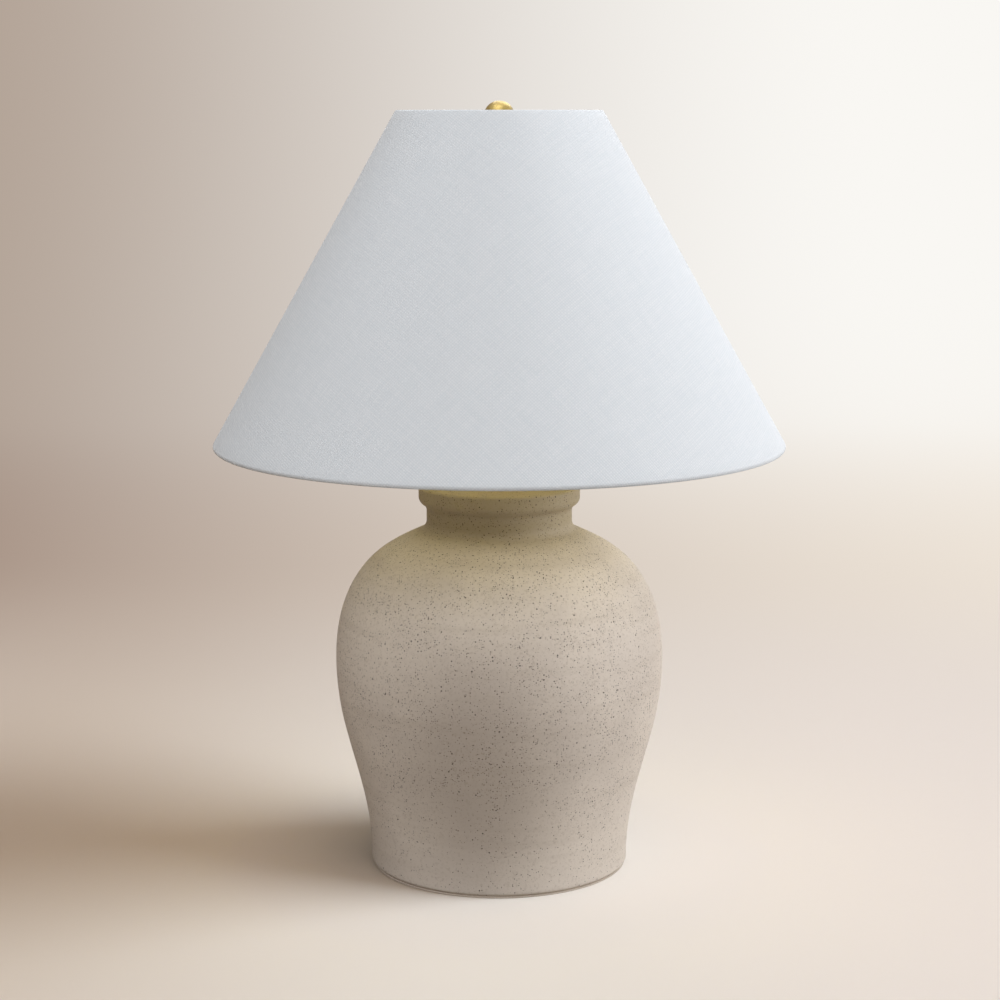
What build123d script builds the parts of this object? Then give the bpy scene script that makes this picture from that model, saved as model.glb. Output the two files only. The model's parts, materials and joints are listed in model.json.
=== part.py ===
from build123d import *

import math
import os

# A harp table lamp. A hollow stoneware jar is clamped on a threaded pipe, the pipe carries a
# lampholder with a turn switch and an LED bulb, and a harp carries a hardback coolie shade that a
# ball finial holds down.
# Lengths are in millimetres and angles in degrees. The origin is the middle of the face that the
# lamp rests on, +Z is up and +Y points to the back, where the cord leaves.

# Jar: a slip-cast stoneware vase with a recessed floor and a closed mouth
wall = 6.5
foot_radius = 104.9
foot_edge_radius = 3.0
foot_ring_width = 9.0
recess_depth = 20.0
floor_thickness = 8.0
floor_hole_radius = 6.2
belly_radius = 132.9
belly_height = 164.5
shoulder_height = 279.5
shoulder_slope = 25.0
crease_radius = 4.0
neck_radius = 58.7
neck_height = 11.0
lip_radius = 65.1
lip_flare_height = 11.0
lip_height = 9.5
lip_edge_radius = 2.5
deck_thickness = 8.0
deck_hole_radius = 15.0
# Each pair is a share of the height and a share of the swell, from foot to belly and belly to neck
lower_wall_shares = ((0.25, 0.13), (0.5, 0.466), (0.75, 0.836))
shoulder_shares = ((0.35, 0.951), (0.62, 0.785), (0.8, 0.552), (0.93, 0.235))

# Underside: a fibreboard cover in the foot and one round felt under both
felt_thickness = 1.5
felt_inset = 4.0
cover_thickness = 3.0
cover_clearance = 0.4

# Cord outlet: a rubber grommet through the back of the foot ring
cord_hole_radius = 5.5
cord_hole_height = 10.5
grommet_bore_radius = 3.25
grommet_flange_radius = 7.6
grommet_flange_thickness = 1.6
grommet_lip_radius = 6.6
grommet_lip_thickness = 1.2

# Threaded pipe, and the fasteners that pull the stack together under the jar's floor
pipe_radius = 4.9
pipe_bore_radius = 3.3
pipe_end_below_nut = 3.0
hole_clearance = 0.4
floor_gasket_radius = 16.0
floor_gasket_thickness = 1.5
floor_washer_radius = 14.0
floor_washer_thickness = 1.6
lock_washer_radius = 8.4
lock_washer_thickness = 1.6
lock_washer_gap = 1.8
nut_across_flats = 14.3
nut_thickness = 4.0

# Brass stack between the jar and the harp saddle
cap_gasket_thickness = 1.0
cap_gasket_inset = 0.6
vase_cap_radius = 30.0
vase_cap_height = 9.0
vase_cap_wall = 1.2
vase_cap_edge_height = 1.6
vase_cap_hub_radius = 11.0
vase_cap_crown_share = 0.62
neck_tube_radius = 8.0
neck_tube_length = 48.0
check_ring_radius = 13.0
check_ring_thickness = 2.4

# Harp: one bent wire on a strap saddle, locked by a sliding ferrule on each leg
saddle_thickness = 1.8
saddle_middle_width = 18.0
saddle_tab_width = 4.0
saddle_tab_height = 11.0
harp_wire_radius = 1.6
harp_height = 203.0
harp_foot_spacing = 49.4
harp_width = 114.0
harp_leg_height = 27.0
harp_flare_height = 68.0
harp_corner_radius = 16.0
harp_eye_radius = 7.5
harp_eye_thickness = 2.6
harp_seat_gap = 0.3
ferrule_length = 12.0
ferrule_wall = 0.9
ferrule_clearance = 0.35
ferrule_seat_gap = 0.3

# Swivel stud in the eye of the harp, with the thread that the finial takes
stud_radius = 3.175
stud_length = 16.0
stud_seat_radius = 7.0
stud_seat_thickness = 2.4
stud_shank_radius = 2.4
stud_head_radius = 4.0
stud_head_thickness = 1.6
swivel_clearance = 0.05
swivel_end_gap = 0.1

# Lampholder: a brass cap and shell round a phenolic body with the bulb's screw shell
holder_cap_radius = 17.0
holder_cap_wall = 0.9
holder_cap_height = 25.0
holder_hub_radius = 8.5
holder_hub_height = 7.0
pipe_engagement = 9.0
set_screw_radius = 1.5
set_screw_height = 3.5
set_screw_stand_out = 0.9
set_screw_slot_width = 0.5
set_screw_slot_depth = 0.5
shell_wall = 0.6
shell_bottom = 19.0
shell_top = 62.0
liner_wall = 0.7
liner_setback = 1.0
holder_body_bottom = 19.5
holder_body_top = 37.0
screw_shell_wall = 0.5
screw_shell_top = 60.0
screw_shell_flange_width = 4.0
contact_rise = 3.0
contact_width = 5.0
contact_thickness = 0.6
contact_foot_end = 8.0
contact_foot_length = 2.5
contact_slope_length = 3.5
contact_tip_length = 5.5
terminal_notch_depth = 3.3
terminal_notch_width = 8.0
terminal_height = 28.0
terminal_head_radius = 3.0
terminal_head_thickness = 1.8
terminal_shank_radius = 1.5
terminal_shank_length = 4.0

# Turn switch: a cam on a shaft through the holder's front, with a key-shaped knob
switch_height = 28.0
switch_shaft_radius = 1.6
switch_shaft_front = 33.0
switch_shaft_back = 7.0
switch_bearing_clearance = 0.05
switch_back_bearing_end = 8.0
switch_slot_radius = 3.5
switch_pocket_width = 12.4
switch_pocket_front = 8.0
switch_pocket_back = 4.0
rotor_width = 7.4
rotor_corner_radius = 1.5
rotor_length = 8.0
rotor_front_gap = 2.0
contact_blade_thickness = 0.5
contact_blade_width = 4.0
contact_blade_height = 11.0
knob_gap = 4.5
knob_collar_radius = 4.5
knob_collar_length = 3.0
knob_key_length = 12.0
knob_key_width = 17.0
knob_key_thickness = 6.0
knob_edge_radius = 1.2

# LED bulb of the common pear size on a medium screw base
bulb_contact_gap = 0.1
bulb_length = 108.0
bulb_globe_radius = 30.0
bulb_globe_wall = 1.2
bulb_tip_radius = 4.5
bulb_tip_thickness = 1.5
bulb_insulator_start = 0.8
bulb_insulator_radius = 11.6
bulb_insulator_foot_radius = 6.5
bulb_insulator_cone_top = 4.5
bulb_insulator_top = 6.0
bulb_base_radius = 13.0
bulb_base_wall = 0.6
bulb_base_clearance = 0.3
bulb_base_top = 26.0
bulb_spigot_length = 6.0
bulb_collar_radius = 14.2
bulb_housing_wall = 1.6
bulb_cone_top = 58.0
bulb_rim_top = 62.0
heat_plate_thickness = 2.0
led_board_radius = 22.0
led_board_thickness = 1.6
led_chip_size = 3.0
led_chip_thickness = 0.8
led_chip_ring_radius = 14.0
led_chip_count = 8
driver_board_thickness = 1.6
driver_board_width = 18.0
driver_board_height = 30.0

# Shade: fabric over a stiff liner, its edges rolled round a wire ring at each end
shade_bottom_radius = 228.6
shade_top_radius = 82.5
shade_height = 265.7
shade_fabric_thickness = 0.8
shade_liner_thickness = 0.5
shade_liner_setback = 0.4
ring_wire_radius = 1.5
ring_clearance = 0.3

# Spider: a washer hub on three bent arms, set down inside the top ring
spider_drop = 27.7
spider_hub_radius = 12.0
spider_hub_thickness = 2.0
spider_hub_clearance = 0.35
spider_arm_radius = 1.4
spider_arm_bend_radius = 6.0
spider_arm_root = 1.0
spider_arm_count = 3
spider_first_angle = 90.0

# Finial: a solid brass ball on a short neck
finial_height = 35.0
finial_ball_radius = 12.2
finial_neck_radius = 4.8
finial_base_radius = 6.6
finial_base_height = 3.0
finial_bore_clearance = 0.3
finial_bore_end_gap = 1.0

# How far each cutting tool runs past the face that it cuts
overrun = 1.0

# Levels up the lamp's axis, each one resting on the one before
foot_underside = felt_thickness
belly_level = foot_underside + belly_height
neck_bottom = foot_underside + shoulder_height
neck_top = neck_bottom + neck_height
lip_bottom = neck_top + lip_flare_height
deck_top = lip_bottom + lip_height
deck_underside = deck_top - deck_thickness
floor_underside = foot_underside + recess_depth
floor_top = floor_underside + floor_thickness
floor_gasket_underside = floor_underside - floor_gasket_thickness
floor_washer_underside = floor_gasket_underside - floor_washer_thickness
lock_washer_underside = floor_washer_underside - lock_washer_thickness
nut_underside = lock_washer_underside - nut_thickness
pipe_bottom = nut_underside - pipe_end_below_nut
cap_seat = deck_top + cap_gasket_thickness
vase_cap_top = cap_seat + vase_cap_height
neck_tube_top = vase_cap_top + neck_tube_length
saddle_underside = neck_tube_top + check_ring_thickness
saddle_top = saddle_underside + saddle_thickness
pipe_top = saddle_top + pipe_engagement
eye_top = saddle_top + harp_height
eye_underside = eye_top - harp_eye_thickness
stud_seat_underside = eye_top + swivel_end_gap
stud_seat_top = stud_seat_underside + stud_seat_thickness
stud_top = stud_seat_top + stud_length
hub_top = stud_seat_top + spider_hub_thickness
finial_top = hub_top + finial_height
shade_top = hub_top + spider_drop
shade_bottom = shade_top - shade_height

# Radii and places that follow from the pieces that meet there
recess_radius = foot_radius - foot_ring_width
cord_hole_level = foot_underside + cord_hole_height
shell_radius = holder_cap_radius - holder_cap_wall
liner_radius = shell_radius - shell_wall
holder_body_radius = liner_radius - liner_wall
screw_shell_bore = bulb_base_radius + bulb_base_clearance
holder_body_top_level = saddle_top + holder_body_top
contact_top = holder_body_top_level + contact_rise
bulb_tip = contact_top + bulb_contact_gap
globe_centre = bulb_tip + bulb_length - bulb_globe_radius
globe_rim_drop = globe_centre - (bulb_tip + bulb_rim_top)
switch_level = saddle_top + switch_height
hem_bore_radius = ring_wire_radius + ring_clearance
hem_radius = hem_bore_radius + shade_fabric_thickness
leg_offset = harp_foot_spacing / 2
tab_offset = leg_offset + harp_wire_radius + harp_seat_gap
ferrule_offset = leg_offset + (harp_seat_gap + saddle_thickness) / 2
ferrule_reach = tab_offset + saddle_thickness - ferrule_offset
ferrule_bore_radius = math.hypot(ferrule_reach, saddle_tab_width / 2) + ferrule_clearance

from_base = (Align.CENTER, Align.CENTER, Align.MIN)


def rod(radius, low, high):
    """A cylinder on the lamp's axis between two heights."""
    return Pos(0, 0, low) * Cylinder(radius, high - low, align=from_base)


def washer(radius, bore_radius, low, high):
    """A ring on the lamp's axis between two heights."""
    return rod(radius, low, high) - rod(bore_radius, low - overrun, high + overrun)


def rod_to_back(radius, start, end, height):
    """A cylinder along +Y at a height, between two places on Y."""
    return Pos(0, start, height) * Rot(X=-90) * Cylinder(radius, end - start, align=from_base)


def turned(*edges):
    """The solid that a flat outline of radius and height makes, turned about the lamp's axis."""
    return revolve(Rot(X=90) * make_face(edges), Axis.Z)


def turned_polygon(*points):
    """The solid that a polygon of radius and height makes, turned about the lamp's axis."""
    return turned(*Polyline(*points, close=True).edges())


def double_bend(shift, rise):
    """Radius and turn of the two equal arcs that carry a line sideways by a shift over a rise."""
    turn = 2 * math.degrees(math.atan2(shift, rise))
    return rise / (2 * math.sin(math.radians(turn))), turn


def bent_path(start, heading, moves):
    """A smooth wire in the flat. Each move is a radius and a turn, or no radius and a length."""
    edges = []
    place = Vector(*start)
    way = Vector(*heading)
    for radius, amount in moves:
        edge = JernArc(place, way, radius, amount) if radius else Line(place, place + way * amount)
        edges.append(edge)
        place = edge @ 1
        way = edge % 1
    return Wire(edges)


def swept(path, radius):
    """A round wire of a radius along a path."""
    section = Plane(origin=path @ 0, z_dir=path % 0) * Circle(radius)
    return sweep(section, path=path)


def jar_side(inset):
    """The jar's side from the foot up to the neck, moved inwards by a wall's thickness."""
    foot = foot_radius - inset
    belly = belly_radius - inset
    foot_level = foot_underside + foot_edge_radius
    slope = math.radians(shoulder_slope)
    crease = crease_radius + inset
    end_radius = neck_radius + crease_radius - crease * math.sin(slope)
    end_level = neck_bottom - crease * math.cos(slope)
    points = [(foot, foot_level)]
    for height_share, swell_share in lower_wall_shares:
        rise = height_share * (belly_level - foot_level)
        points.append((foot + swell_share * (belly - foot), foot_level + rise))
    points.append((belly, belly_level))
    for height_share, swell_share in shoulder_shares:
        rise = height_share * (end_level - belly_level)
        points.append((end_radius + swell_share * (belly - end_radius), belly_level + rise))
    points.append((end_radius, end_level))
    inward = (-math.cos(slope), math.sin(slope))
    side = Spline(*points, tangents=[(0, 1), inward])
    corner = JernArc(points[-1], inward, crease, shoulder_slope - 90)
    return [side, corner]


def ceramic_body():
    """The hollow jar, with its foot recess, pipe holes and cord hole."""
    flare_radius, flare_turn = double_bend(lip_radius - neck_radius, lip_flare_height)
    round_start = (foot_radius - foot_edge_radius, foot_underside)
    sides = jar_side(0)
    neck = Line(sides[-1] @ 1, (neck_radius, neck_top))
    flare = JernArc(neck @ 1, (0, 1), flare_radius, -flare_turn)
    flare_end = JernArc(flare @ 1, flare % 1, flare_radius, flare_turn)
    lip = Line(flare_end @ 1, (lip_radius, deck_top - lip_edge_radius))
    lip_round = JernArc(lip @ 1, (0, 1), lip_edge_radius, 90)
    outline = [
        Line((0, foot_underside), round_start),
        JernArc(round_start, (1, 0), foot_edge_radius, 90),
        *sides,
        neck,
        flare,
        flare_end,
        lip,
        lip_round,
        Line(lip_round @ 1, (0, deck_top)),
        Line((0, deck_top), (0, foot_underside)),
    ]
    inner_sides = jar_side(wall)
    inner_foot = inner_sides[0] @ 0
    inner_neck = Line(inner_sides[-1] @ 1, (neck_radius - wall, deck_underside))
    hollow = turned(
        Line((0, inner_foot.Y), inner_foot),
        *inner_sides,
        inner_neck,
        Line(inner_neck @ 1, (0, deck_underside)),
        Line((0, deck_underside), (0, inner_foot.Y)),
    )
    hollow -= rod(belly_radius, foot_underside, floor_top)
    body = turned(*outline) - hollow
    body -= rod(recess_radius, foot_underside - overrun, floor_underside)
    body -= rod(floor_hole_radius, foot_underside, floor_top + overrun)
    body -= rod(deck_hole_radius, deck_underside - overrun, deck_top + overrun)
    body -= rod_to_back(cord_hole_radius, recess_radius - overrun, foot_radius + overrun, cord_hole_level)
    return body


def felt_pad():
    return rod(foot_radius - felt_inset, 0, felt_thickness)


def base_cover():
    return rod(recess_radius - cover_clearance, foot_underside, foot_underside + cover_thickness)


def cord_grommet():
    """A bush through the foot ring, its flange and inner lip shaped to the ring's curved faces."""
    inner_end = recess_radius - grommet_lip_thickness
    outer_end = foot_radius + grommet_flange_thickness
    middle = foot_radius - foot_ring_width / 2
    blank = rod_to_back(grommet_flange_radius, middle, outer_end, cord_hole_level)
    blank += rod_to_back(grommet_lip_radius, inner_end, middle, cord_hole_level)
    blank -= ceramic_body()
    bore = rod_to_back(grommet_bore_radius, inner_end - overrun, outer_end + overrun, cord_hole_level)
    return blank - bore


def lamp_pipe():
    return washer(pipe_radius, pipe_bore_radius, pipe_bottom, pipe_top)


def floor_gasket():
    bore_radius = pipe_radius + hole_clearance
    return washer(floor_gasket_radius, bore_radius, floor_gasket_underside, floor_underside)


def floor_washer():
    bore_radius = pipe_radius + hole_clearance
    return washer(floor_washer_radius, bore_radius, floor_washer_underside, floor_gasket_underside)


def lock_washer():
    """A split spring washer, closed flat by the nut."""
    bore_radius = pipe_radius + hole_clearance
    ring = washer(lock_washer_radius, bore_radius, lock_washer_underside, floor_washer_underside)
    middle = (lock_washer_underside + floor_washer_underside) / 2
    split = Box(lock_washer_radius + overrun, lock_washer_gap, lock_washer_thickness + overrun,
                align=(Align.MIN, Align.CENTER, Align.CENTER))
    return ring - Pos(0, 0, middle) * split


def pipe_nut():
    hexagon = RegularPolygon(nut_across_flats / 2, 6, major_radius=False)
    blank = Pos(0, 0, nut_underside) * extrude(hexagon, nut_thickness)
    return blank - rod(pipe_radius, nut_underside - overrun, lock_washer_underside + overrun)


def cap_gasket():
    return washer(vase_cap_radius - cap_gasket_inset, deck_hole_radius, deck_top, cap_seat)


def cap_dome(inset):
    """The vase cap's rounded outline above its upright edge, moved inwards by its wall."""
    edge = (vase_cap_radius - inset, cap_seat + vase_cap_edge_height)
    hub = (vase_cap_hub_radius, vase_cap_top - inset)
    crown_radius = hub[0] + vase_cap_crown_share * (edge[0] - hub[0])
    crown_height = edge[1] + vase_cap_crown_share * (hub[1] - edge[1])
    return ThreePointArc(edge, (crown_radius, crown_height), hub)


def vase_cap():
    """A spun brass cap over the hole in the jar's mouth."""
    bore_radius = pipe_radius + hole_clearance
    outside = cap_dome(0)
    inside = cap_dome(vase_cap_wall)
    return turned(
        Line((vase_cap_radius, cap_seat), outside @ 0),
        outside,
        Line(outside @ 1, (bore_radius, vase_cap_top)),
        Line((bore_radius, vase_cap_top), (bore_radius, vase_cap_top - vase_cap_wall)),
        Line((bore_radius, vase_cap_top - vase_cap_wall), inside @ 1),
        inside,
        Line(inside @ 0, (vase_cap_radius - vase_cap_wall, cap_seat)),
        Line((vase_cap_radius - vase_cap_wall, cap_seat), (vase_cap_radius, cap_seat)),
    )


def neck_tube():
    return washer(neck_tube_radius, pipe_radius + hole_clearance, vase_cap_top, neck_tube_top)


def check_ring():
    return washer(check_ring_radius, pipe_radius + hole_clearance, neck_tube_top, saddle_underside)


def harp_saddle():
    """A flat strap that widens round the pipe, with an upright tab at each end."""
    half_length = tab_offset + saddle_thickness
    corners = [(half_length, saddle_tab_width / 2), (0, saddle_middle_width / 2)]
    corners += [(-x, y) for x, y in corners[:1]]
    outline = Polyline(*corners, *[(x, -y) for x, y in reversed(corners)], close=True)
    saddle = Pos(0, 0, saddle_underside) * extrude(make_face(outline.edges()), saddle_thickness)
    tab = Box(saddle_thickness, saddle_tab_width, saddle_tab_height, align=from_base)
    for side in (-1, 1):
        saddle += Pos(side * (tab_offset + saddle_thickness / 2), 0, saddle_top) * tab
    hole_radius = pipe_radius + hole_clearance
    return saddle - rod(hole_radius, saddle_underside - overrun, saddle_top + overrun)


def harp_wire():
    """The bent wire, flattened at the top into an eye for the swivel stud."""
    wire_top = eye_top - harp_eye_thickness / 2
    flare_radius, flare_turn = double_bend(harp_width / 2 - leg_offset, harp_flare_height)
    arch_height = wire_top - saddle_top - harp_leg_height - harp_flare_height
    arch_width = harp_width / 2 - harp_eye_radius
    side_shift = arch_width - harp_corner_radius
    side_rise = arch_height - harp_corner_radius
    side_turn = 2 * math.degrees(math.atan2(side_shift, side_rise))
    side_radius = harp_corner_radius + side_rise / math.sin(math.radians(side_turn))
    half = [
        (0, harp_leg_height),
        (flare_radius, -flare_turn),
        (flare_radius, flare_turn),
        (side_radius, side_turn),
        (harp_corner_radius, 90 - side_turn),
    ]
    flat_top = [(0, 2 * harp_eye_radius)]
    path = bent_path((leg_offset, saddle_top), (0, 1), half + flat_top + half[::-1])
    wire = swept(Rot(X=90) * path, harp_wire_radius)
    wire -= rod(harp_eye_radius, eye_underside - harp_wire_radius, eye_top + harp_wire_radius)
    eye_bore_radius = stud_shank_radius + swivel_clearance
    return wire + washer(harp_eye_radius, eye_bore_radius, eye_underside, eye_top)


def harp_ferrule(side):
    """The sleeve that slides down a harp leg over the saddle's tab and locks the two together."""
    low = saddle_top + ferrule_seat_gap
    sleeve = washer(ferrule_bore_radius + ferrule_wall, ferrule_bore_radius, low, low + ferrule_length)
    return Pos(side * ferrule_offset, 0, 0) * sleeve


def harp_ferrule_left():
    return harp_ferrule(-1)


def harp_ferrule_right():
    return harp_ferrule(1)


def harp_stud():
    """The swivel stud: a riveted head, a shank in the eye, the shade's seat and the thread."""
    head_top = eye_underside - swivel_end_gap
    stud = rod(stud_head_radius, head_top - stud_head_thickness, head_top)
    stud += rod(stud_shank_radius, head_top, stud_seat_underside)
    stud += rod(stud_seat_radius, stud_seat_underside, stud_seat_top)
    return stud + rod(stud_radius, stud_seat_top, stud_top)


def holder_cap():
    """The lampholder's brass cup, with the threaded hub that screws onto the pipe."""
    dome_radius = holder_cap_radius - holder_hub_radius
    hub_top_level = saddle_top + holder_hub_height
    rim = saddle_top + holder_cap_height
    outside = JernArc((holder_hub_radius, hub_top_level), (1, 0), dome_radius, 90)
    inside_start = (holder_hub_radius, hub_top_level + holder_cap_wall)
    inside = JernArc(inside_start, (1, 0), dome_radius - holder_cap_wall, 90)
    cup = turned(
        Line((pipe_radius, saddle_top), (holder_hub_radius, saddle_top)),
        Line((holder_hub_radius, saddle_top), outside @ 0),
        outside,
        Line(outside @ 1, (holder_cap_radius, rim)),
        Line((holder_cap_radius, rim), (shell_radius, rim)),
        Line((shell_radius, rim), inside @ 1),
        inside,
        Line(inside @ 0, (pipe_radius, inside_start[1])),
        Line((pipe_radius, inside_start[1]), (pipe_radius, saddle_top)),
    )
    screw_level = saddle_top + set_screw_height
    return cup - rod_to_back(set_screw_radius, 0, holder_hub_radius + overrun, screw_level)


def holder_set_screw():
    """The slotted screw that locks the lampholder's hub on the pipe."""
    head_end = holder_hub_radius + set_screw_stand_out
    level = saddle_top + set_screw_height
    screw = rod_to_back(set_screw_radius, 0, head_end, level) - rod(pipe_radius, saddle_top, pipe_top)
    slot = Box(2 * set_screw_radius + overrun, set_screw_slot_depth, set_screw_slot_width,
               align=(Align.CENTER, Align.MAX, Align.CENTER))
    return screw - Pos(0, head_end, level) * slot


def switch_slot():
    """The opening that lets the switch shaft and the shell slide past each other."""
    length = holder_cap_radius + overrun
    hole = rod_to_back(switch_slot_radius, -length, 0, switch_level)
    below = Box(2 * switch_slot_radius, length, switch_height,
                align=(Align.CENTER, Align.MAX, Align.MAX))
    return hole + Pos(0, 0, switch_level) * below


def holder_shell():
    low = saddle_top + shell_bottom
    high = saddle_top + shell_top
    return washer(shell_radius, shell_radius - shell_wall, low, high) - switch_slot()


def holder_liner():
    low = saddle_top + shell_bottom
    high = saddle_top + shell_top - liner_setback
    return washer(liner_radius, holder_body_radius, low, high) - switch_slot()


def holder_body():
    """The phenolic block, with the switch's pocket and bearings and a notch for each terminal."""
    low = saddle_top + holder_body_bottom
    body = rod(holder_body_radius, low, holder_body_top_level)
    pocket_top = switch_level + switch_pocket_width / 2
    pocket_length = switch_pocket_front + switch_pocket_back
    pocket = Box(switch_pocket_width, pocket_length, pocket_top - low + overrun,
                 align=(Align.CENTER, Align.MIN, Align.MAX))
    body -= Pos(0, -switch_pocket_front, pocket_top) * pocket
    bearing_radius = switch_shaft_radius + switch_bearing_clearance
    body -= rod_to_back(bearing_radius, -holder_cap_radius, switch_back_bearing_end, switch_level)
    notch_height = saddle_top + terminal_height + terminal_head_radius + overrun - low
    notch = Box(terminal_notch_depth + overrun, terminal_notch_width, notch_height + overrun,
                align=(Align.MIN, Align.CENTER, Align.MIN))
    for turn in (0, 180):
        place = Pos(holder_body_radius - terminal_notch_depth, 0, low - overrun)
        body -= Rot(Z=turn) * place * notch
    return body


def screw_shell():
    """The cup that the bulb screws into, open at the bottom for the centre contact."""
    high = saddle_top + screw_shell_top
    outside = screw_shell_bore + screw_shell_wall
    tube = washer(outside, screw_shell_bore, holder_body_top_level, high)
    flange_top = holder_body_top_level + screw_shell_wall
    flange_bore = screw_shell_bore - screw_shell_flange_width
    return tube + washer(outside, flange_bore, holder_body_top_level, flange_top)


def centre_contact():
    """A bent brass strip that springs up against the bulb's tip."""
    slope_start = contact_foot_end - contact_foot_length
    slope_end = slope_start - contact_slope_length
    tip_end = slope_end - contact_tip_length
    top_line = [(contact_foot_end, contact_thickness), (slope_start, contact_thickness),
                (slope_end, contact_rise), (tip_end, contact_rise)]
    under_line = [(x, z - contact_thickness) for x, z in reversed(top_line)]
    outline = make_face(Polyline(*top_line, *under_line, close=True).edges())
    strip = extrude(outline, contact_width / 2, both=True)
    return Pos(0, 0, holder_body_top_level) * Rot(X=90) * strip


def terminal_screws():
    """The two binding screws, one each side of the body."""
    seat = holder_body_radius - terminal_notch_depth
    shank = Cylinder(terminal_shank_radius, terminal_shank_length,
                     align=(Align.CENTER, Align.CENTER, Align.MAX))
    head = Cylinder(terminal_head_radius, terminal_head_thickness, align=from_base)
    screws = []
    for turn in (0, 180):
        place = Rot(Z=turn) * Pos(seat, 0, saddle_top + terminal_height) * Rot(Y=90)
        screws.append(place * (shank + head))
    return screws


def drilled_holder_body():
    """The body with the holes that the terminal screws are driven into."""
    body = holder_body()
    for screw in terminal_screws():
        body -= screw
    return body


def switch_contact():
    """The spring blade that the cam works against, on the wall of the switch pocket."""
    wall_side = switch_pocket_width / 2
    blade = Box(contact_blade_thickness, contact_blade_width, contact_blade_height,
                align=(Align.MAX, Align.CENTER, Align.CENTER))
    middle = (rotor_back() + rotor_back() - rotor_length) / 2
    return Pos(wall_side, middle, switch_level) * blade


def rotor_back():
    """Where the cam ends towards the back."""
    return rotor_length + rotor_front_gap - switch_pocket_front


def switch_shaft():
    return rod_to_back(switch_shaft_radius, -switch_shaft_front, switch_shaft_back, switch_level)


def switch_rotor():
    """The insulating cam, square with rounded corners."""
    square = RectangleRounded(rotor_width, rotor_width, rotor_corner_radius)
    cam = Pos(0, rotor_back(), switch_level) * Rot(X=90) * extrude(square, rotor_length)
    return cam - switch_shaft()


def switch_knob():
    """A collar and a flat key to turn the switch by."""
    collar_start = -(holder_cap_radius + knob_gap)
    key_start = collar_start - knob_collar_length
    key = extrude(SlotOverall(knob_key_width, knob_key_thickness), knob_key_length)
    key = fillet(key.faces().sort_by(Axis.Z)[-1].edges(), knob_edge_radius)
    knob = Pos(0, key_start, switch_level) * Rot(X=90) * key
    knob += rod_to_back(knob_collar_radius, key_start - overrun, collar_start, switch_level)
    return knob - switch_shaft()


def bulb_tip_contact():
    return rod(bulb_tip_radius, bulb_tip, bulb_tip + bulb_tip_thickness)


def bulb_insulator():
    """The dark ring between the bulb's tip and its screw base."""
    start = bulb_tip + bulb_insulator_start
    cone_top = bulb_tip + bulb_insulator_cone_top
    high = bulb_tip + bulb_insulator_top
    cone = turned_polygon((0, start), (bulb_insulator_foot_radius, start),
                          (bulb_insulator_radius, cone_top), (bulb_insulator_radius, high), (0, high))
    return cone - rod(bulb_tip_radius, bulb_tip, bulb_tip + bulb_tip_thickness)


def bulb_screw_base():
    low = bulb_tip + bulb_insulator_cone_top
    tube = washer(bulb_base_radius, bulb_base_radius - bulb_base_wall, low, bulb_tip + bulb_base_top)
    return tube + washer(bulb_base_radius, bulb_insulator_radius, low, low + bulb_base_wall)


def bulb_housing():
    """The heat-sink cone under the globe, with the plate that carries the LED board."""
    spigot_radius = bulb_base_radius - bulb_base_wall
    collar = bulb_tip + bulb_base_top
    cone_top = bulb_tip + bulb_cone_top
    rim = bulb_tip + bulb_rim_top
    rim_radius = math.sqrt(bulb_globe_radius ** 2 - globe_rim_drop ** 2)
    plate_top = cone_top + heat_plate_thickness
    bore_radius = spigot_radius - bulb_housing_wall
    return turned_polygon(
        (spigot_radius, collar - bulb_spigot_length),
        (spigot_radius, collar),
        (bulb_collar_radius, collar),
        (rim_radius, cone_top),
        (rim_radius, rim),
        (rim_radius - bulb_globe_wall, rim),
        (rim_radius - bulb_globe_wall, plate_top),
        (0, plate_top),
        (0, cone_top),
        (rim_radius - bulb_housing_wall, cone_top),
        (bore_radius, collar),
        (bore_radius, collar - bulb_spigot_length),
    )


def bulb_globe():
    """The frosted globe, a hollow ball cut off flat on the housing's rim."""
    rim = bulb_tip + bulb_rim_top
    ball = Sphere(bulb_globe_radius) - Sphere(bulb_globe_radius - bulb_globe_wall)
    return Pos(0, 0, globe_centre) * ball - rod(bulb_globe_radius, rim - bulb_globe_radius, rim)


def led_board_top():
    """Height of the LED board's upper face, on the housing's plate."""
    return bulb_tip + bulb_cone_top + heat_plate_thickness + led_board_thickness


def led_board():
    return rod(led_board_radius, led_board_top() - led_board_thickness, led_board_top())


def led_chips():
    chip = Box(led_chip_size, led_chip_size, led_chip_thickness, align=from_base)
    place = Pos(led_chip_ring_radius, 0, led_board_top())
    return [Rot(Z=index * 360 / led_chip_count) * place * chip for index in range(led_chip_count)]


def led_driver_board():
    board = Box(driver_board_thickness, driver_board_width, driver_board_height,
                align=(Align.CENTER, Align.CENTER, Align.MAX))
    return Pos(0, 0, bulb_tip + bulb_cone_top) * board


def shade_line():
    """The two ring centres, the way up the slant and the way out of it, in radius and height."""
    bottom = Vector(shade_bottom_radius - hem_radius, shade_bottom + hem_radius)
    top = Vector(shade_top_radius - hem_radius, shade_top - hem_radius)
    slant = (top - bottom).normalized()
    return bottom, top, slant, Vector(slant.Y, -slant.X)


def shade_cover():
    """The fabric cone, rolled half round the ring at each edge."""
    bottom, top, slant, out = shade_line()
    hem = hem_radius
    bore = hem_bore_radius
    return turned(
        Line(bottom + out * hem, top + out * hem),
        ThreePointArc(top + out * hem, top + slant * hem, top - out * hem),
        Line(top - out * hem, top - out * bore),
        ThreePointArc(top - out * bore, top + slant * bore, top + out * bore),
        Line(top + out * bore, bottom + out * bore),
        ThreePointArc(bottom + out * bore, bottom - slant * bore, bottom - out * bore),
        Line(bottom - out * bore, bottom - out * hem),
        ThreePointArc(bottom - out * hem, bottom - slant * hem, bottom + out * hem),
    )


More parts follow.
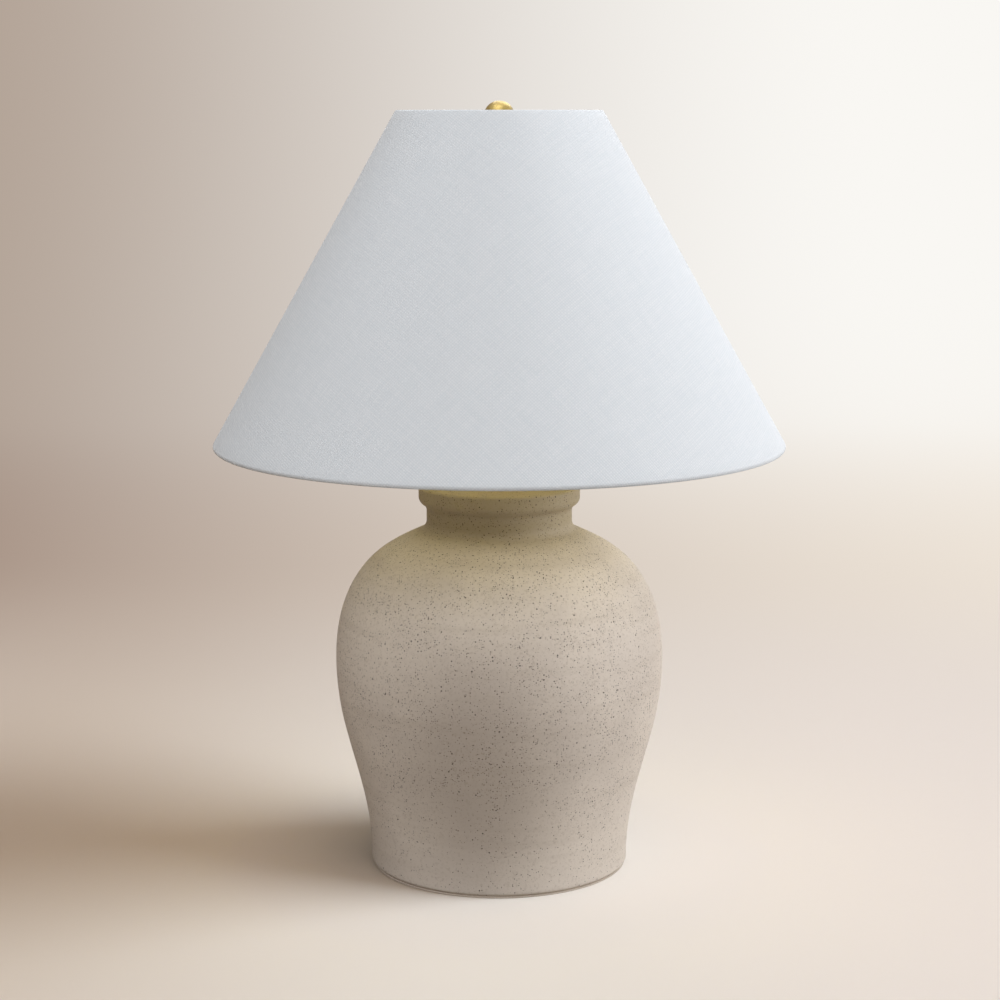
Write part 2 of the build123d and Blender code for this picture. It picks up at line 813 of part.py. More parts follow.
def shade_liner():
    """The stiff sheet laminated inside the fabric, between the two rolled edges."""
    bottom, top, slant, out = shade_line()
    setback = slant * (hem_radius + shade_liner_setback)
    face = out * hem_bore_radius
    back = out * (hem_bore_radius - shade_liner_thickness)
    corners = [bottom + setback + face, top - setback + face, top - setback + back,
               bottom + setback + back]
    return turned_polygon(*corners)


def shade_ring(centre):
    """A wire ring inside a rolled edge."""
    return Pos(0, 0, centre.Y) * Torus(centre.X, ring_wire_radius)


def bottom_ring():
    return shade_ring(shade_line()[0])


def top_ring():
    return shade_ring(shade_line()[1])


def spider_hub():
    bore_radius = stud_radius + spider_hub_clearance
    return washer(spider_hub_radius, bore_radius, stud_seat_top, hub_top)


def spider_arms():
    """The bent arms that join the hub to the top ring."""
    ring_centre = shade_line()[1]
    hem_low_point = ring_centre.Y - hem_radius * shade_line()[3].Y
    level = hub_top - spider_hub_thickness / 2
    start = spider_hub_radius - spider_arm_root
    moves = [
        (0, ring_centre.X - spider_arm_bend_radius - start),
        (spider_arm_bend_radius, 90),
        (0, hem_low_point - level - spider_arm_bend_radius),
    ]
    path = Rot(X=90) * bent_path((start, level), (1, 0), moves)
    arm = swept(path, spider_arm_radius) - rod(spider_hub_radius, stud_seat_underside, shade_top)
    arm -= top_ring()
    step = 360 / spider_arm_count
    return [Rot(Z=spider_first_angle + index * step) * arm for index in range(spider_arm_count)]


def finial():
    """A ball on a neck, bored from below for the stud's thread."""
    bore_radius = stud_radius + finial_bore_clearance
    bore_end = stud_top + finial_bore_end_gap
    base_round = finial_base_height / 2
    base_top = hub_top + finial_base_height
    ball_centre = finial_top - finial_ball_radius
    neck_drop = math.sqrt(finial_ball_radius ** 2 - finial_neck_radius ** 2)
    flat_radius = finial_base_radius - base_round
    ball_start = (finial_neck_radius, ball_centre - neck_drop)
    return turned(
        Line((bore_radius, hub_top), (flat_radius, hub_top)),
        ThreePointArc((flat_radius, hub_top), (finial_base_radius, hub_top + base_round),
                      (flat_radius, base_top)),
        Line((flat_radius, base_top), (finial_neck_radius, base_top)),
        Line((finial_neck_radius, base_top), ball_start),
        ThreePointArc(ball_start, (finial_ball_radius, ball_centre), (0, finial_top)),
        Line((0, finial_top), (0, bore_end)),
        Line((0, bore_end), (bore_radius, bore_end)),
        Line((bore_radius, bore_end), (bore_radius, hub_top)),
    )


pieces = {
    "ceramic_body": ceramic_body,
    "felt_pad": felt_pad,
    "base_cover": base_cover,
    "cord_grommet": cord_grommet,
    "lamp_pipe": lamp_pipe,
    "floor_gasket": floor_gasket,
    "floor_washer": floor_washer,
    "lock_washer": lock_washer,
    "pipe_nut": pipe_nut,
    "cap_gasket": cap_gasket,
    "vase_cap": vase_cap,
    "neck_tube": neck_tube,
    "check_ring": check_ring,
    "harp_saddle": harp_saddle,
    "holder_cap": holder_cap,
    "holder_set_screw": holder_set_screw,
    "holder_shell": holder_shell,
    "holder_liner": holder_liner,
    "holder_body": drilled_holder_body,
    "screw_shell": screw_shell,
    "centre_contact": centre_contact,
    "terminal_screws": terminal_screws,
    "switch_contact": switch_contact,
    "switch_shaft": switch_shaft,
    "switch_rotor": switch_rotor,
    "switch_knob": switch_knob,
    "bulb_tip_contact": bulb_tip_contact,
    "bulb_insulator": bulb_insulator,
    "bulb_screw_base": bulb_screw_base,
    "bulb_housing": bulb_housing,
    "bulb_globe": bulb_globe,
    "led_board": led_board,
    "led_chips": led_chips,
    "led_driver_board": led_driver_board,
    "harp_wire": harp_wire,
    "harp_ferrule_left": harp_ferrule_left,
    "harp_ferrule_right": harp_ferrule_right,
    "harp_stud": harp_stud,
    "shade_cover": shade_cover,
    "shade_liner": shade_liner,
    "top_ring": top_ring,
    "bottom_ring": bottom_ring,
    "spider_arms": spider_arms,
    "spider_hub": spider_hub,
    "finial": finial,
}

os.makedirs("parts", exist_ok=True)
for name, make in pieces.items():
    piece = make()
    if isinstance(piece, list):
        piece = Compound(children=piece)
    export_step(piece, f"parts/{name}.step")
    print(name, round(piece.volume), "mm3")
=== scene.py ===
# %% [markdown]
# # A stoneware table lamp with a cone shade
#
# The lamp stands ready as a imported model: 45 plain pieces at their real size, one for each that
# comes off on a bench. This notebook gives them their looks. It never moves a piece. It paints the
# ones whose shape is right, and swaps a few for finer meshes of the same size.

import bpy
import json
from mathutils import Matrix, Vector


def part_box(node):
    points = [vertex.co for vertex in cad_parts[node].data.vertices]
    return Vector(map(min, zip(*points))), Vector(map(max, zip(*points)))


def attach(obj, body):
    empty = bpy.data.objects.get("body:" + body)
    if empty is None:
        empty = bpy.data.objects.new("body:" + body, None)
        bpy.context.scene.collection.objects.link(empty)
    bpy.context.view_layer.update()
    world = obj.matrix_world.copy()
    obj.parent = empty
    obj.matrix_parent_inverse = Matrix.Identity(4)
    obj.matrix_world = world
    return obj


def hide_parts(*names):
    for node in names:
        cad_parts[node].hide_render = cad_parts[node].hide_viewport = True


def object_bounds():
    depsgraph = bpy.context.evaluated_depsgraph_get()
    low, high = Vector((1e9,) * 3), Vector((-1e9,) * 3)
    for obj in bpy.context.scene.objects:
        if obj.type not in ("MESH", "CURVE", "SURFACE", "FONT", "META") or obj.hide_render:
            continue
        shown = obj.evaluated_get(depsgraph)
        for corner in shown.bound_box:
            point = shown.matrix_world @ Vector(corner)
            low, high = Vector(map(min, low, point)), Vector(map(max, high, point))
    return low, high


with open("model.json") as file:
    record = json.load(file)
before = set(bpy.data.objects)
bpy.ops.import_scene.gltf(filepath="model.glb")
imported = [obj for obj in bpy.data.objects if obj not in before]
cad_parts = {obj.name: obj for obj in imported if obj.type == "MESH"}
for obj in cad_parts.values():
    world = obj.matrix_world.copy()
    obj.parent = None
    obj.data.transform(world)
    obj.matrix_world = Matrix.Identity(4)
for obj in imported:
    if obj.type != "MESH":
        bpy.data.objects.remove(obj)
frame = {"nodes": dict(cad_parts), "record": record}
cad_low, cad_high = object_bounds()
nodes = frame["nodes"]
print(len(nodes), "pieces,", round(cad_high.z - cad_low.z, 4), "m tall")

# %% [markdown]
# ## Units and helpers
#
# Blender works in metres, but a potter or a lamp maker thinks in millimetres, so every size below
# is a number times mm. Colours are written as they look on a screen, in hex, and one function
# turns them into the linear light that the renderer counts in. Another adds one node to a tree
# with its settings and its links, and each tree calls it add. Two settings come back all the time:
# a ramp with soft ends, and a mix of colours.

# %% Units, colours and nodes
import json
import math
from functools import partial

import bmesh
import bpy
import numpy as np

mm = 0.001
eased = {"interpolation_type": "SMOOTHSTEP"}
coloured = {"data_type": "RGBA"}


def linear(hex_colour):
    """An sRGB hex colour as linear red, green, blue and alpha."""
    shares = [int(hex_colour[i:i + 2], 16) / 255 for i in (1, 3, 5)]
    return [s / 12.92 if s <= 0.04045 else ((s + 0.055) / 1.055) ** 2.4 for s in shares] + [1.0]


def connect(node, inputs):
    """Fills inputs by name or in order: a value, a hex colour, a socket, or a node's output."""
    for key, value in inputs.items() if isinstance(inputs, dict) else enumerate(inputs):
        if isinstance(value, bpy.types.Node):
            value = next(socket for socket in value.outputs if socket.enabled)
        if isinstance(value, bpy.types.NodeSocket):
            node.id_data.links.new(value, node.inputs[key])
        elif isinstance(value, str) and value.startswith("#"):
            node.inputs[key].default_value = linear(value)
        else:
            node.inputs[key].default_value = value


def add_node(tree, kind, inputs=(), operation=None, **settings):
    """Adds one node, by the last part of its type's name, with its operation if it has one."""
    types = [prefix + kind for prefix in ("ShaderNode", "GeometryNode", "")]
    node = tree.nodes.new(next(name for name in types if hasattr(bpy.types, name)))
    if operation:
        node.operation = operation
    for name, value in settings.items():
        setattr(node, name, value)
    connect(node, inputs)
    return node


def new_material(name):
    """A material, what adds a node to it, its Principled shader and its Object coordinates."""
    material = bpy.data.materials.new(name)
    material.use_nodes = True
    add = partial(add_node, material.node_tree)
    place = add("TexCoord").outputs["Object"]
    return material, add, material.node_tree.nodes["Principled BSDF"], place


def new_object(name, data):
    """An object in the scene that shows a mesh, a light or a camera."""
    thing = bpy.data.objects.new(name, data)
    bpy.context.scene.collection.objects.link(thing)
    return thing


# %% [markdown]
# ## The camera
#
# The photograph looks at the lamp from the front and a little above, from about 1.8 m, through a
# lens of about 82 mm. The height and the tilt were solved from the ellipses of the shade's rims
# and the foot, so the camera goes straight to that place.

# %% Camera
sensor_width = 36.0
focal_share = 2.2721
camera_place = (0.6 * mm, -1808.5 * mm, 606.7 * mm)
camera_tilt = 9.64

camera_data = bpy.data.cameras.new("camera")
camera_data.sensor_width = sensor_width
camera_data.lens = sensor_width * focal_share
camera = new_object("camera", camera_data)
camera.location = camera_place
camera.rotation_euler = (math.radians(90 - camera_tilt), 0, 0)
bpy.context.scene.camera = camera
print("lens", round(camera_data.lens, 1), "mm")

# %% [markdown]
# ## The studio
#
# A sheet of paper that sweeps up behind the lamp has no edge for the eye to catch on. It is one
# outline of floor, bend and wall, pulled out sideways. Its floor and wall fade from dark on the left
# to pale on the right. That fade is painted shade in the paper, by ramps on its own X and Y, so the
# light on the lamp stays plain. The far part shows the camera a painted light, and the floor gives
# other pieces less light back than it shows, as a darker table would.

# %% Backdrop
sweep_half_width = 6.0
sweep_front = -5.0
sweep_bend_start = 2.6
sweep_bend_radius = 0.9
sweep_top = 4.0
sweep_steps = 24
# The floor's colours, from dark on the left to pale on the right: painted shade.
floor_left, floor_middle, floor_right = "#D8CDBF", "#EFECE6", "#F7F2ED"
near_light, far_light = ("#8F7464", "#EDE3D7"), ("#B1A194", "#F9F7F3")
paper_roughness = 0.9
bounce_share = 0.48
# Where each fade starts and ends, in metres: three across the paper and two towards its back.
left_fade, right_fade, side_fade = (-0.5, 0.0), (0.0, 0.4), (-1.4, 0.9)
climb_fade, far_fade = (0.1, 1.3), (1.0, 3.3)


def backdrop_mesh():
    """The paper's outline in Y and Z, repeated at its two sides and joined by faces."""
    outline = [(sweep_front, 0.0)]
    for step in range(sweep_steps + 1):
        turn = math.pi / 2 * step / sweep_steps
        outline.append((sweep_bend_start + sweep_bend_radius * math.sin(turn),
                        sweep_bend_radius * (1 - math.cos(turn))))
    outline.append((sweep_bend_start + sweep_bend_radius, sweep_top))
    points = [(x, y, z) for y, z in outline for x in (-sweep_half_width, sweep_half_width)]
    faces = [(2 * i, 2 * i + 1, 2 * i + 3, 2 * i + 2) for i in range(len(outline) - 1)]
    mesh = bpy.data.meshes.new("backdrop")
    mesh.from_pydata(points, [], faces)
    mesh.shade_smooth()
    return mesh


def pale_rays(add):
    """1 for what the camera sees, straight or in a shiny or clear surface, and 0 for light."""
    rays = add("LightPath").outputs
    seen = rays["Is Camera Ray"]
    for ray in ("Is Glossy Ray", "Is Transmission Ray"):
        seen = add("Math", [seen, rays[ray]], "MAXIMUM").outputs[0]
    return seen


def backdrop_paper():
    """Matt paper. Its far part shows a painted light of its own to the camera and to mirrors."""
    material, add, shader, place = new_material("studio_paper")
    across, back = add("SeparateXYZ", [place]).outputs[:2]
    left, right, side, climb, far = [
        add("MapRange", [value, *fade, 0, 1], **eased)
        for value, fade in ((across, left_fade), (across, right_fade), (across, side_fade),
                            (back, climb_fade), (back, far_fade))]
    floor = add("Mix", {0: left, 6: floor_left, 7: floor_middle}, **coloured)
    floor = add("Mix", {0: right, 6: floor, 7: floor_right}, **coloured)
    seen = pale_rays(add)
    tone = add("MapRange", [seen, 0, 1, bounce_share, 1])
    paint = add("VectorMath", {0: floor, 3: tone}, "SCALE")
    connect(shader, {"Base Color": paint, "Roughness": paper_roughness})
    near_tone, far_tone = [add("Mix", {0: side, 6: left_light, 7: right_light}, **coloured)
                           for left_light, right_light in (near_light, far_light)]
    light = add("Mix", {0: far, 6: near_tone, 7: far_tone}, **coloured)
    glow = add("Emission", {"Color": light, "Strength": 1.0})
    share = add("Math", [seen, climb], "MULTIPLY")
    mixed = add("MixShader", [share, shader, glow])
    connect(material.node_tree.nodes["Material Output"], {"Surface": mixed})
    return material


backdrop = new_object("backdrop", backdrop_mesh())
backdrop.data.materials.append(backdrop_paper())

# %% [markdown]
# Soft light comes from boxes the size of a window. The key stands to the right and low, so the
# jar's right side is bright and the shade keeps the neck dark. A box in front, one above and one
# behind lift the rest. Light linking keeps them all off the paper. Two broad suns light the paper
# alone and evenly: a low one from the right lays the lamp's long shadow to the left, and a warm one
# from above fills it. The sky lights things weakly, but the camera and shiny metal see it pale.

# %% Lights and sky


def aim(light, direction):
    """Turns a light so that it shines along a direction."""
    yaw = math.atan2(direction[1], direction[0]) - math.pi / 2
    pitch = math.atan2(direction[2], math.hypot(direction[0], direction[1]))
    light.rotation_euler = (math.pi / 2 + pitch, 0, yaw)


def link_light(light, piece, state):
    """Keeps a light off a piece (EXCLUDE) or on it alone (INCLUDE)."""
    lit = bpy.data.collections.new(light.name + "_lights")
    lit.objects.link(piece)
    light.light_linking.receiver_collection = lit
    lit.collection_objects[0].light_linking.link_state = state


def new_light(name, kind, colour, strength, **sizes):
    """A light that the camera can't see."""
    data = bpy.data.lights.new(name, kind)
    data.color = linear(colour)[:3]
    data.energy = strength
    for size, value in sizes.items():
        setattr(data, size, value)
    light = new_object(name, data)
    light.visible_camera = False
    return light


def pass_through(light, pieces):
    """Lets a light shine through some pieces, so that they cast no shadow of it."""
    clear = bpy.data.collections.new(light.name + "_passes")
    for piece in pieces:
        clear.objects.link(piece)
    light.light_linking.blocker_collection = clear
    for member in clear.collection_objects:
        member.light_linking.link_state = "EXCLUDE"


lamp_middle = (cad_low + cad_high) / 2
box_colour = "#FCFCFF"
# Name, place and side in metres, and power in watts.
for name, place, size, power in (
        ("key", (2.0, -0.08, 0.75), 1.3, 29), ("front", (-0.6, -1.92, 1.6), 1.2, 23.5),
        ("top", (-0.2, -0.3, 2.4), 1.4, 15), ("back", (0.3, 1.4, 1.9), 1.6, 22)):
    box = new_light(name, "AREA", box_colour, power, size=size)
    box.location = place
    aim(box, [a - p for a, p in zip(lamp_middle, place)])
    link_light(box, backdrop, "EXCLUDE")

paper_lights = {}
# Name, the way that it shines, its width in degrees, colour and strength.
for name, direction, spread, colour, strength in (
        ("paper_key", (-7.0, 1.0, -3.3), 48, "#EEF7FF", 3.75),
        ("paper_fill", (-0.35, 0.5, -2.1), 50, "#FFE0CE", 0.84)):
    sun = new_light(name, "SUN", colour, strength, angle=math.radians(spread))
    aim(sun, direction)
    link_light(sun, backdrop, "INCLUDE")
    paper_lights[name] = sun

sky_strength, sky_strength_seen = 0.12, 0.9
sky_colour, sky_colour_seen = "#FFEBDA", "#F3EEE8"
sky = bpy.data.worlds.new("sky")
sky.use_nodes = True
add = partial(add_node, sky.node_tree)
seen = pale_rays(add)
strength = add("MapRange", [seen, 0, 1, sky_strength, sky_strength_seen])
tone = add("Mix", {0: seen, 6: sky_colour, 7: sky_colour_seen}, **coloured)
connect(sky.node_tree.nodes["Background"], {"Color": tone, "Strength": strength})
bpy.context.scene.world = sky
bpy.context.scene.view_settings.view_transform = "Standard"

# %% [markdown]
# ## What the finishes share
#
# A texture's scale is one over the size of its features, so a small function turns millimetres
# into that. Noise whose place is squeezed along an axis makes streaks: a lathe's marks run round
# the Z axis, so their noise hardly changes along X and Y. Each finish ends the same way, with a
# colour, a roughness and a bump of a real depth.

# %% Scales, streaks and the last step of a finish
level_squeeze = (0.05, 0.05, 1)


def per(size_mm):
    """The scale of a texture whose features are this many millimetres across."""
    return 1 / (size_mm * mm)


def sized(place, size_mm, **more):
    """A texture's inputs: where it lies, and how many millimetres its features are across."""
    return {"Vector": place, "Scale": per(size_mm), **more}


def streaks(add, place, squeeze, size_mm, **more):
    """Noise drawn out along the axes that are squeezed."""
    along = add("VectorMath", [place, squeeze], "MULTIPLY")
    return add("TexNoise", sized(along, size_mm, **more))


def dress(add, shader, colour, roughness, height, depth, strength=1.0, **more):
    """Gives a shader its colour, its roughness and a bump as deep as the real surface's."""
    bump = add("Bump", {"Height": height, "Distance": depth, "Strength": strength})
    connect(shader, {"Base Color": colour, "Roughness": roughness, "Normal": bump, **more})


# %% [markdown]
# ## Stoneware
#
# The jar is cast in a buff clay with grains of ironstone in it. In the kiln they bleed through the
# matt glaze as brown specks: a few up to 1.6 mm wide, many up to 1.3 mm, and a fainter dust. The
# specks are spheres in the cells of a Voronoi texture, cut by the jar's wall, and only some cells
# hold one, so they never line up. Their shares rise and fall over a few centimetres, because the
# grains clump in the clay, and fade towards the foot, where the clay is sponged.
#
# Thin glaze leaves wide clouds and level bands, and the foot's edge is wiped bare. From the shoulder
# up to the lip the glaze is painted a darker olive: painted shade from the shade above, warmed by
# painted light from the bulb. One wide darker patch low on the front is painted shade.

# %% Stoneware


def specks(add, place, spacing_mm, radius_mm, filled_share):
    """A mask of dots. Some cells of one spacing hold a dot of up to one radius."""
    cells = add("TexVoronoi", sized(place, spacing_mm))
    luck = add("SeparateColor", [cells.outputs["Color"]])
    held = add("Math", [luck.outputs[0], filled_share], "LESS_THAN")
    widest = radius_mm / spacing_mm
    reach = add("MapRange", [luck.outputs[1], 0, 1, 0.55 * widest, widest])
    core = add("Math", [reach, 0.6], "MULTIPLY")
    dot = add("MapRange", [cells.outputs["Distance"], reach, core, 0, 1], **eased)
    return add("Math", [dot, held], "MULTIPLY")


def stoneware():
    material, add, shader, place = new_material("speckled_matt_stoneware")
    clouds, grit, grain = [add("TexNoise", sized(place, width_mm, Detail=4))
                           for width_mm in (cloud_mm, grit_mm, grain_mm)]
    bands = streaks(add, place, level_squeeze, band_mm, Detail=4)
    cloudy = add("MapRange", [clouds, 0.38, 0.62, 0, 1], **eased)
    banded = add("MapRange", [bands, 0.45, 0.8, 0, 0.35], **eased)
    gritty = add("MapRange", [grit, 0.5, 0.75, 0, 0.4], **eased)
    body = add("Mix", {0: cloudy, 6: glaze_grey, 7: glaze_warm}, **coloured)
    # Painted shade: one wide darker patch low on the jar's front.
    aside = add("VectorMath", [place, painted_shade_middle], "SUBTRACT")
    aside = add("VectorMath", [aside, (1, 1, 0.7)], "MULTIPLY")
    reach = add("VectorMath", [aside], "LENGTH")
    painted_shade_patch = add("MapRange", [reach, *painted_shade_reach, 0, painted_shade_strength], **eased)
    height = add("SeparateXYZ", [place]).outputs["Z"]
    # Painted warm shade: a darker olive from the shoulder up to the lip, for the shade's shadow and
    # the bulb's warm light.
    painted_warm_shade = add("MapRange", [height, *painted_warm_shade_levels, 0, painted_warm_shade_strength], **eased)
    for share, colour in ((banded, band_colour), (gritty, grit_colour), (painted_shade_patch, painted_shade_colour),
                          (painted_warm_shade, painted_warm_shade_colour)):
        body = add("Mix", {0: share, 6: body, 7: colour}, **coloured)
    ragged = add("TexNoise", sized(place, ragged_mm))
    nudge = add("VectorMath", [ragged.outputs["Color"], (0.5, 0.5, 0.5)], "SUBTRACT")
    nudged = add("VectorMath", [nudge, (nudge_depth,) * 3, place], "MULTIPLY_ADD")
    clumps = add("TexNoise", sized(place, clump_mm, Detail=2))
    plenty = add("MapRange", [clumps, 0.35, 0.65, 0.5, 1.45])
    washed = add("MapRange", [height, *wash_levels, 0.4, 1.1], **eased)
    plenty = add("Math", [plenty, washed], "MULTIPLY")
    masks = []
    for spacing_mm, radius_mm, share, strength, colour in speck_kinds:
        filled = add("Math", [plenty, share], "MULTIPLY")
        mask = specks(add, nudged, spacing_mm, radius_mm, filled)
        shown = add("Math", [mask, strength], "MULTIPLY")
        body = add("Mix", {0: shown, 6: body, 7: colour}, **coloured)
        masks.append(mask)
    bare = add("MapRange", [height, *bare_levels, 0, 0.7], **eased)
    body = add("Mix", {0: bare, 6: body, 7: bare_colour}, **coloured)
    dull = add("MapRange", [clouds, 0.3, 0.7, 0.6, 0.74], **eased)
    pits = add("Math", [masks[1], masks[2]], "MAXIMUM")
    surface = add("Math", [pits, -0.8, grain], "MULTIPLY_ADD")
    dress(add, shader, body, dull, surface, glaze_bump)
    return material


jar_low, jar_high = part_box("ceramic_body")
cloud_mm, band_mm, grit_mm, grain_mm, ragged_mm, clump_mm = 70, 9, 2.4, 1.1, 1.5, 30
nudge_depth, glaze_bump = 0.5 * mm, 0.14 * mm
glaze_grey, glaze_warm, band_colour, grit_colour = "#D6CCC0", "#DFD5C8", "#C0B4A5", "#B0A292"
# Where the painted shade patch lies, how far it reaches and how strong it is.
painted_shade_middle, painted_shade_reach, painted_shade_strength = (-0.02, -0.115, 0.1), (0.1, 0.015), 0.52
# Heights, share and colour of the painted warm shade above the shoulder.
painted_warm_shade_levels = [jar_low.z + level * mm for level in (262, 286)]
painted_warm_shade_strength, painted_warm_shade_colour, painted_shade_colour = 0.62, "#988750", "#8A7C6E"
wash_levels, bare_levels, bare_colour = (10 * mm, 130 * mm), (3.4 * mm, 2.0 * mm), "#B89F84"
# Spacing and radius in mm, share of cells that hold one, strength and colour, from dust to blots.
speck_kinds = ((1.4, 0.5, 0.42, 0.55, "#75604E"), (1.7, 0.66, 0.34, 0.85, "#4C3C30"),
               (2.6, 0.8, 0.13, 1.0, "#2E241B"))
finishes = {"stoneware": stoneware()}

# %% [markdown]
# ## Shade cloth and liner
#
# The shade is a plain weave of cool white yarn, bonded to a sheet of styrene that keeps it stiff.
# It is cut flat, as a part of a ring, and on the bias, so its yarns cross the front at 45 degrees.
# The mesh carries the flat cut as a UV map in metres, and the weave is drawn on that. Real yarns
# lie about 0.5 mm apart. They are drawn at 1.75 mm, so that the weave shows from a step away.

# %% Shade cloth and liner
yarn_pitch = 1.75
weave_bump = 0.12 * mm
# yarn_gap is painted shade in the dips between yarns; yarn_under is a painted sheen difference.
thin_yarn, thick_yarn, yarn_under, yarn_gap = "#DDE4E8", "#E6EBEE", "#D0D5DA", "#C2C8CF"
flat_cut = "FlatCut"


def shade_linen():
    material, add, shader, _ = new_material("white_plain_weave_linen")
    cut = add("UVMap", uv_map=flat_cut)
    bias = add("Mapping", {"Vector": cut, "Rotation": (0, 0, math.radians(45))})
    axes = add("SeparateXYZ", [bias])
    crowns = []
    for axis in ("X", "Y"):
        turn = add("Math", [axes.outputs[axis], math.pi * per(yarn_pitch)], "MULTIPLY")
        wave = add("Math", [turn], "SINE")
        crowns.append(add("Math", [wave], "ABSOLUTE"))
    crown = add("Math", crowns, "MULTIPLY")
    over = add("TexChecker", sized(bias, yarn_pitch)).outputs[1]
    ways = [streaks(add, bias, squeeze, yarn_pitch, Detail=3)
            for squeeze in ((1, 0.06, 1), (0.06, 1, 1))]
    slubs = add("Mix", {0: over, 2: ways[0], 3: ways[1]})
    thick = add("MapRange", [slubs, 0.3, 0.7, 0, 1], **eased)
    yarn = add("Mix", {0: thick, 6: thin_yarn, 7: thick_yarn}, **coloured)
    # Painted shade: the dips between the yarns are drawn darker.
    gap = add("MapRange", [crown, 0, 0.6, 0.27, 0], **eased)
    cloth = add("Mix", {0: gap, 6: yarn, 7: yarn_gap}, **coloured)
    # Painted sheen: the yarns that run the other way are drawn a little darker.
    under = add("Math", [over, 0.08], "MULTIPLY")
    cloth = add("Mix", {0: under, 6: cloth, 7: yarn_under}, **coloured)
    nap = {"Specular IOR Level": 0.25, "Sheen Weight": 0.1, "Sheen Roughness": 0.5}
    dress(add, shader, cloth, 0.88, crown, weave_bump, 0.5, **nap)
    return material


def styrene():
    """White sheet with the faint long draw lines of an extruded film."""
    material, add, shader, place = new_material("white_styrene_sheet")
    lines = streaks(add, place, (1, 1, 0.05), 5, Detail=3)
    colour = add("Mix", {0: lines, 6: "#E6E4DE", 7: "#F3F2EE"}, **coloured)
    gloss = add("MapRange", [lines, 0.3, 0.7, 0.34, 0.46], **eased)
    dress(add, shader, colour, gloss, lines, 0.05 * mm, 0.5)
    return material


finishes["shade_linen"] = shade_linen()
finishes["shade_styrene"] = styrene()

# %% [markdown]
# ## Metals
#
# Brass, zinc and nickel share one recipe: a base colour, a duller colour where the lacquer has let
# the air in, and hair lines of a known width. Only the numbers differ. Turned parts have rings
# round the axis, and bent wire and strip have an even, fine grain.

# %% Metals


def metal(name, colour, dull_colour, roughness, line_mm, turned):
    """A lacquered or plated metal with hair lines and a slow change of tone."""
    material, add, shader, place = new_material(name)
    age = add("TexNoise", sized(place, 9, Detail=4))
    squeeze = (0.04, 0.04, 1) if turned else (1, 1, 1)
    lines = streaks(add, place, squeeze, line_mm, Detail=2)
    worn = add("MapRange", [age, 0.42, 0.7, 0, 0.7], **eased)
    cut = add("MapRange", [lines, 0.5, 0.8, 0, 0.35], **eased)
    tone = add("Mix", {0: worn, 6: colour, 7: dull_colour}, **coloured)
    tone = add("Mix", {0: cut, 6: tone, 7: dull_colour}, **coloured)
    dull = add("MapRange", [age, 0.3, 0.75, roughness, roughness + 0.12], **eased)
    dress(add, shader, tone, dull, lines, 0.012 * mm, 0.6, Metallic=1.0)
    return material


# Slot, material's name, colour, dull colour, roughness, width of the hair lines in mm, turned.
for slot, *recipe in (
        ("satin_brass", "satin_lacquered_brass", "#D9B878", "#B08D50", 0.32, 0.3, False),
        ("bright_brass", "bright_drawn_brass", "#E6C27A", "#C29B55", 0.17, 0.35, True),
        ("finial_brass", "brushed_antique_brass", "#B5A064", "#6E5D35", 0.36, 0.35, True),
        ("contact_brass", "bare_spring_brass", "#DDBD75", "#B3873F", 0.28, 0.25, False),
        ("zinc_steel", "zinc_plated_steel", "#C9CBCE", "#9B9C99", 0.33, 0.25, True),
        ("nickel_shell", "nickel_plated_rolled_shell", "#D8D5CE", "#B3AFA5", 0.2, 0.3, True),
        ("solder_tin", "solder_tip", "#C9C9C7", "#97978F", 0.38, 0.6, False)):
    finishes[slot] = metal(*recipe)

# %% [markdown]
# ## Plastics, rubber and enamel
#
# A moulded or sprayed skin is one colour to the eye, but it has a mould's texture, a slow drift of
# tone and a roughness that is never quite even. The recipe takes the texture's real grain and
# depth. The frosted globe and the white enamel wire are the same idea with other numbers.

# %% Plastics, rubber and enamel


def moulded(name, colour, second_colour, roughness, grain_mm, depth_mm):
    """A moulded, sprayed or glazed skin."""
    material, add, shader, place = new_material(name)
    drift = add("TexNoise", sized(place, 22, Detail=3))
    grain = add("TexNoise", sized(place, grain_mm, Detail=3))
    slow = add("MapRange", [drift, 0.35, 0.65, 0, 1], **eased)
    tone = add("Mix", {0: slow, 6: colour, 7: second_colour}, **coloured)
    dull = add("MapRange", [grain, 0.3, 0.7, roughness - 0.05, roughness + 0.06], **eased)
    dress(add, shader, tone, dull, grain, depth_mm * mm, 0.7)
    return material


# Slot, material's name, two close colours, roughness, the texture's grain and its depth in mm.
for slot, *recipe in (
        ("black_rubber", "moulded_black_rubber", "#1F1E1D", "#2B2A28", 0.68, 0.5, 0.04),
        ("phenolic", "black_phenolic", "#231D1A", "#2E2622", 0.42, 1.5, 0.03),
        ("knob_plastic", "dark_brown_urea_knob", "#2A1E17", "#37281F", 0.3, 2.5, 0.02),
        ("black_glass", "vitrified_black_insulator", "#15131A", "#211E26", 0.12, 3.0, 0.03),
        ("bulb_plastic", "white_bulb_plastic", "#E9E8E4", "#F0EFEB", 0.34, 1.2, 0.02),
        ("frosted_globe", "frosted_globe", "#F1EFE8", "#F6F5F0", 0.5, 0.4, 0.015),
        ("board_white", "white_solder_mask", "#E7E7E2", "#EFEFEA", 0.3, 0.8, 0.01),
        ("led_yellow", "yellow_led_phosphor", "#E8C53A", "#EFD257", 0.35, 0.3, 0.02),
        ("board_green", "green_solder_mask", "#1E5A34", "#27693F", 0.32, 0.8, 0.02),
        ("white_wire", "white_enamelled_wire", "#E4E3DD", "#EEEDE8", 0.36, 1.5, 0.05)):
    finishes[slot] = moulded(*recipe)

# %% [markdown]
# ## Felt, board and fibre
#
# Felt, hardboard and fish paper are all pressed fibres. What tells them apart is how long and how
# loose the fibres lie, so one recipe crosses two stretched noises.

# %% Felt, board and fibre


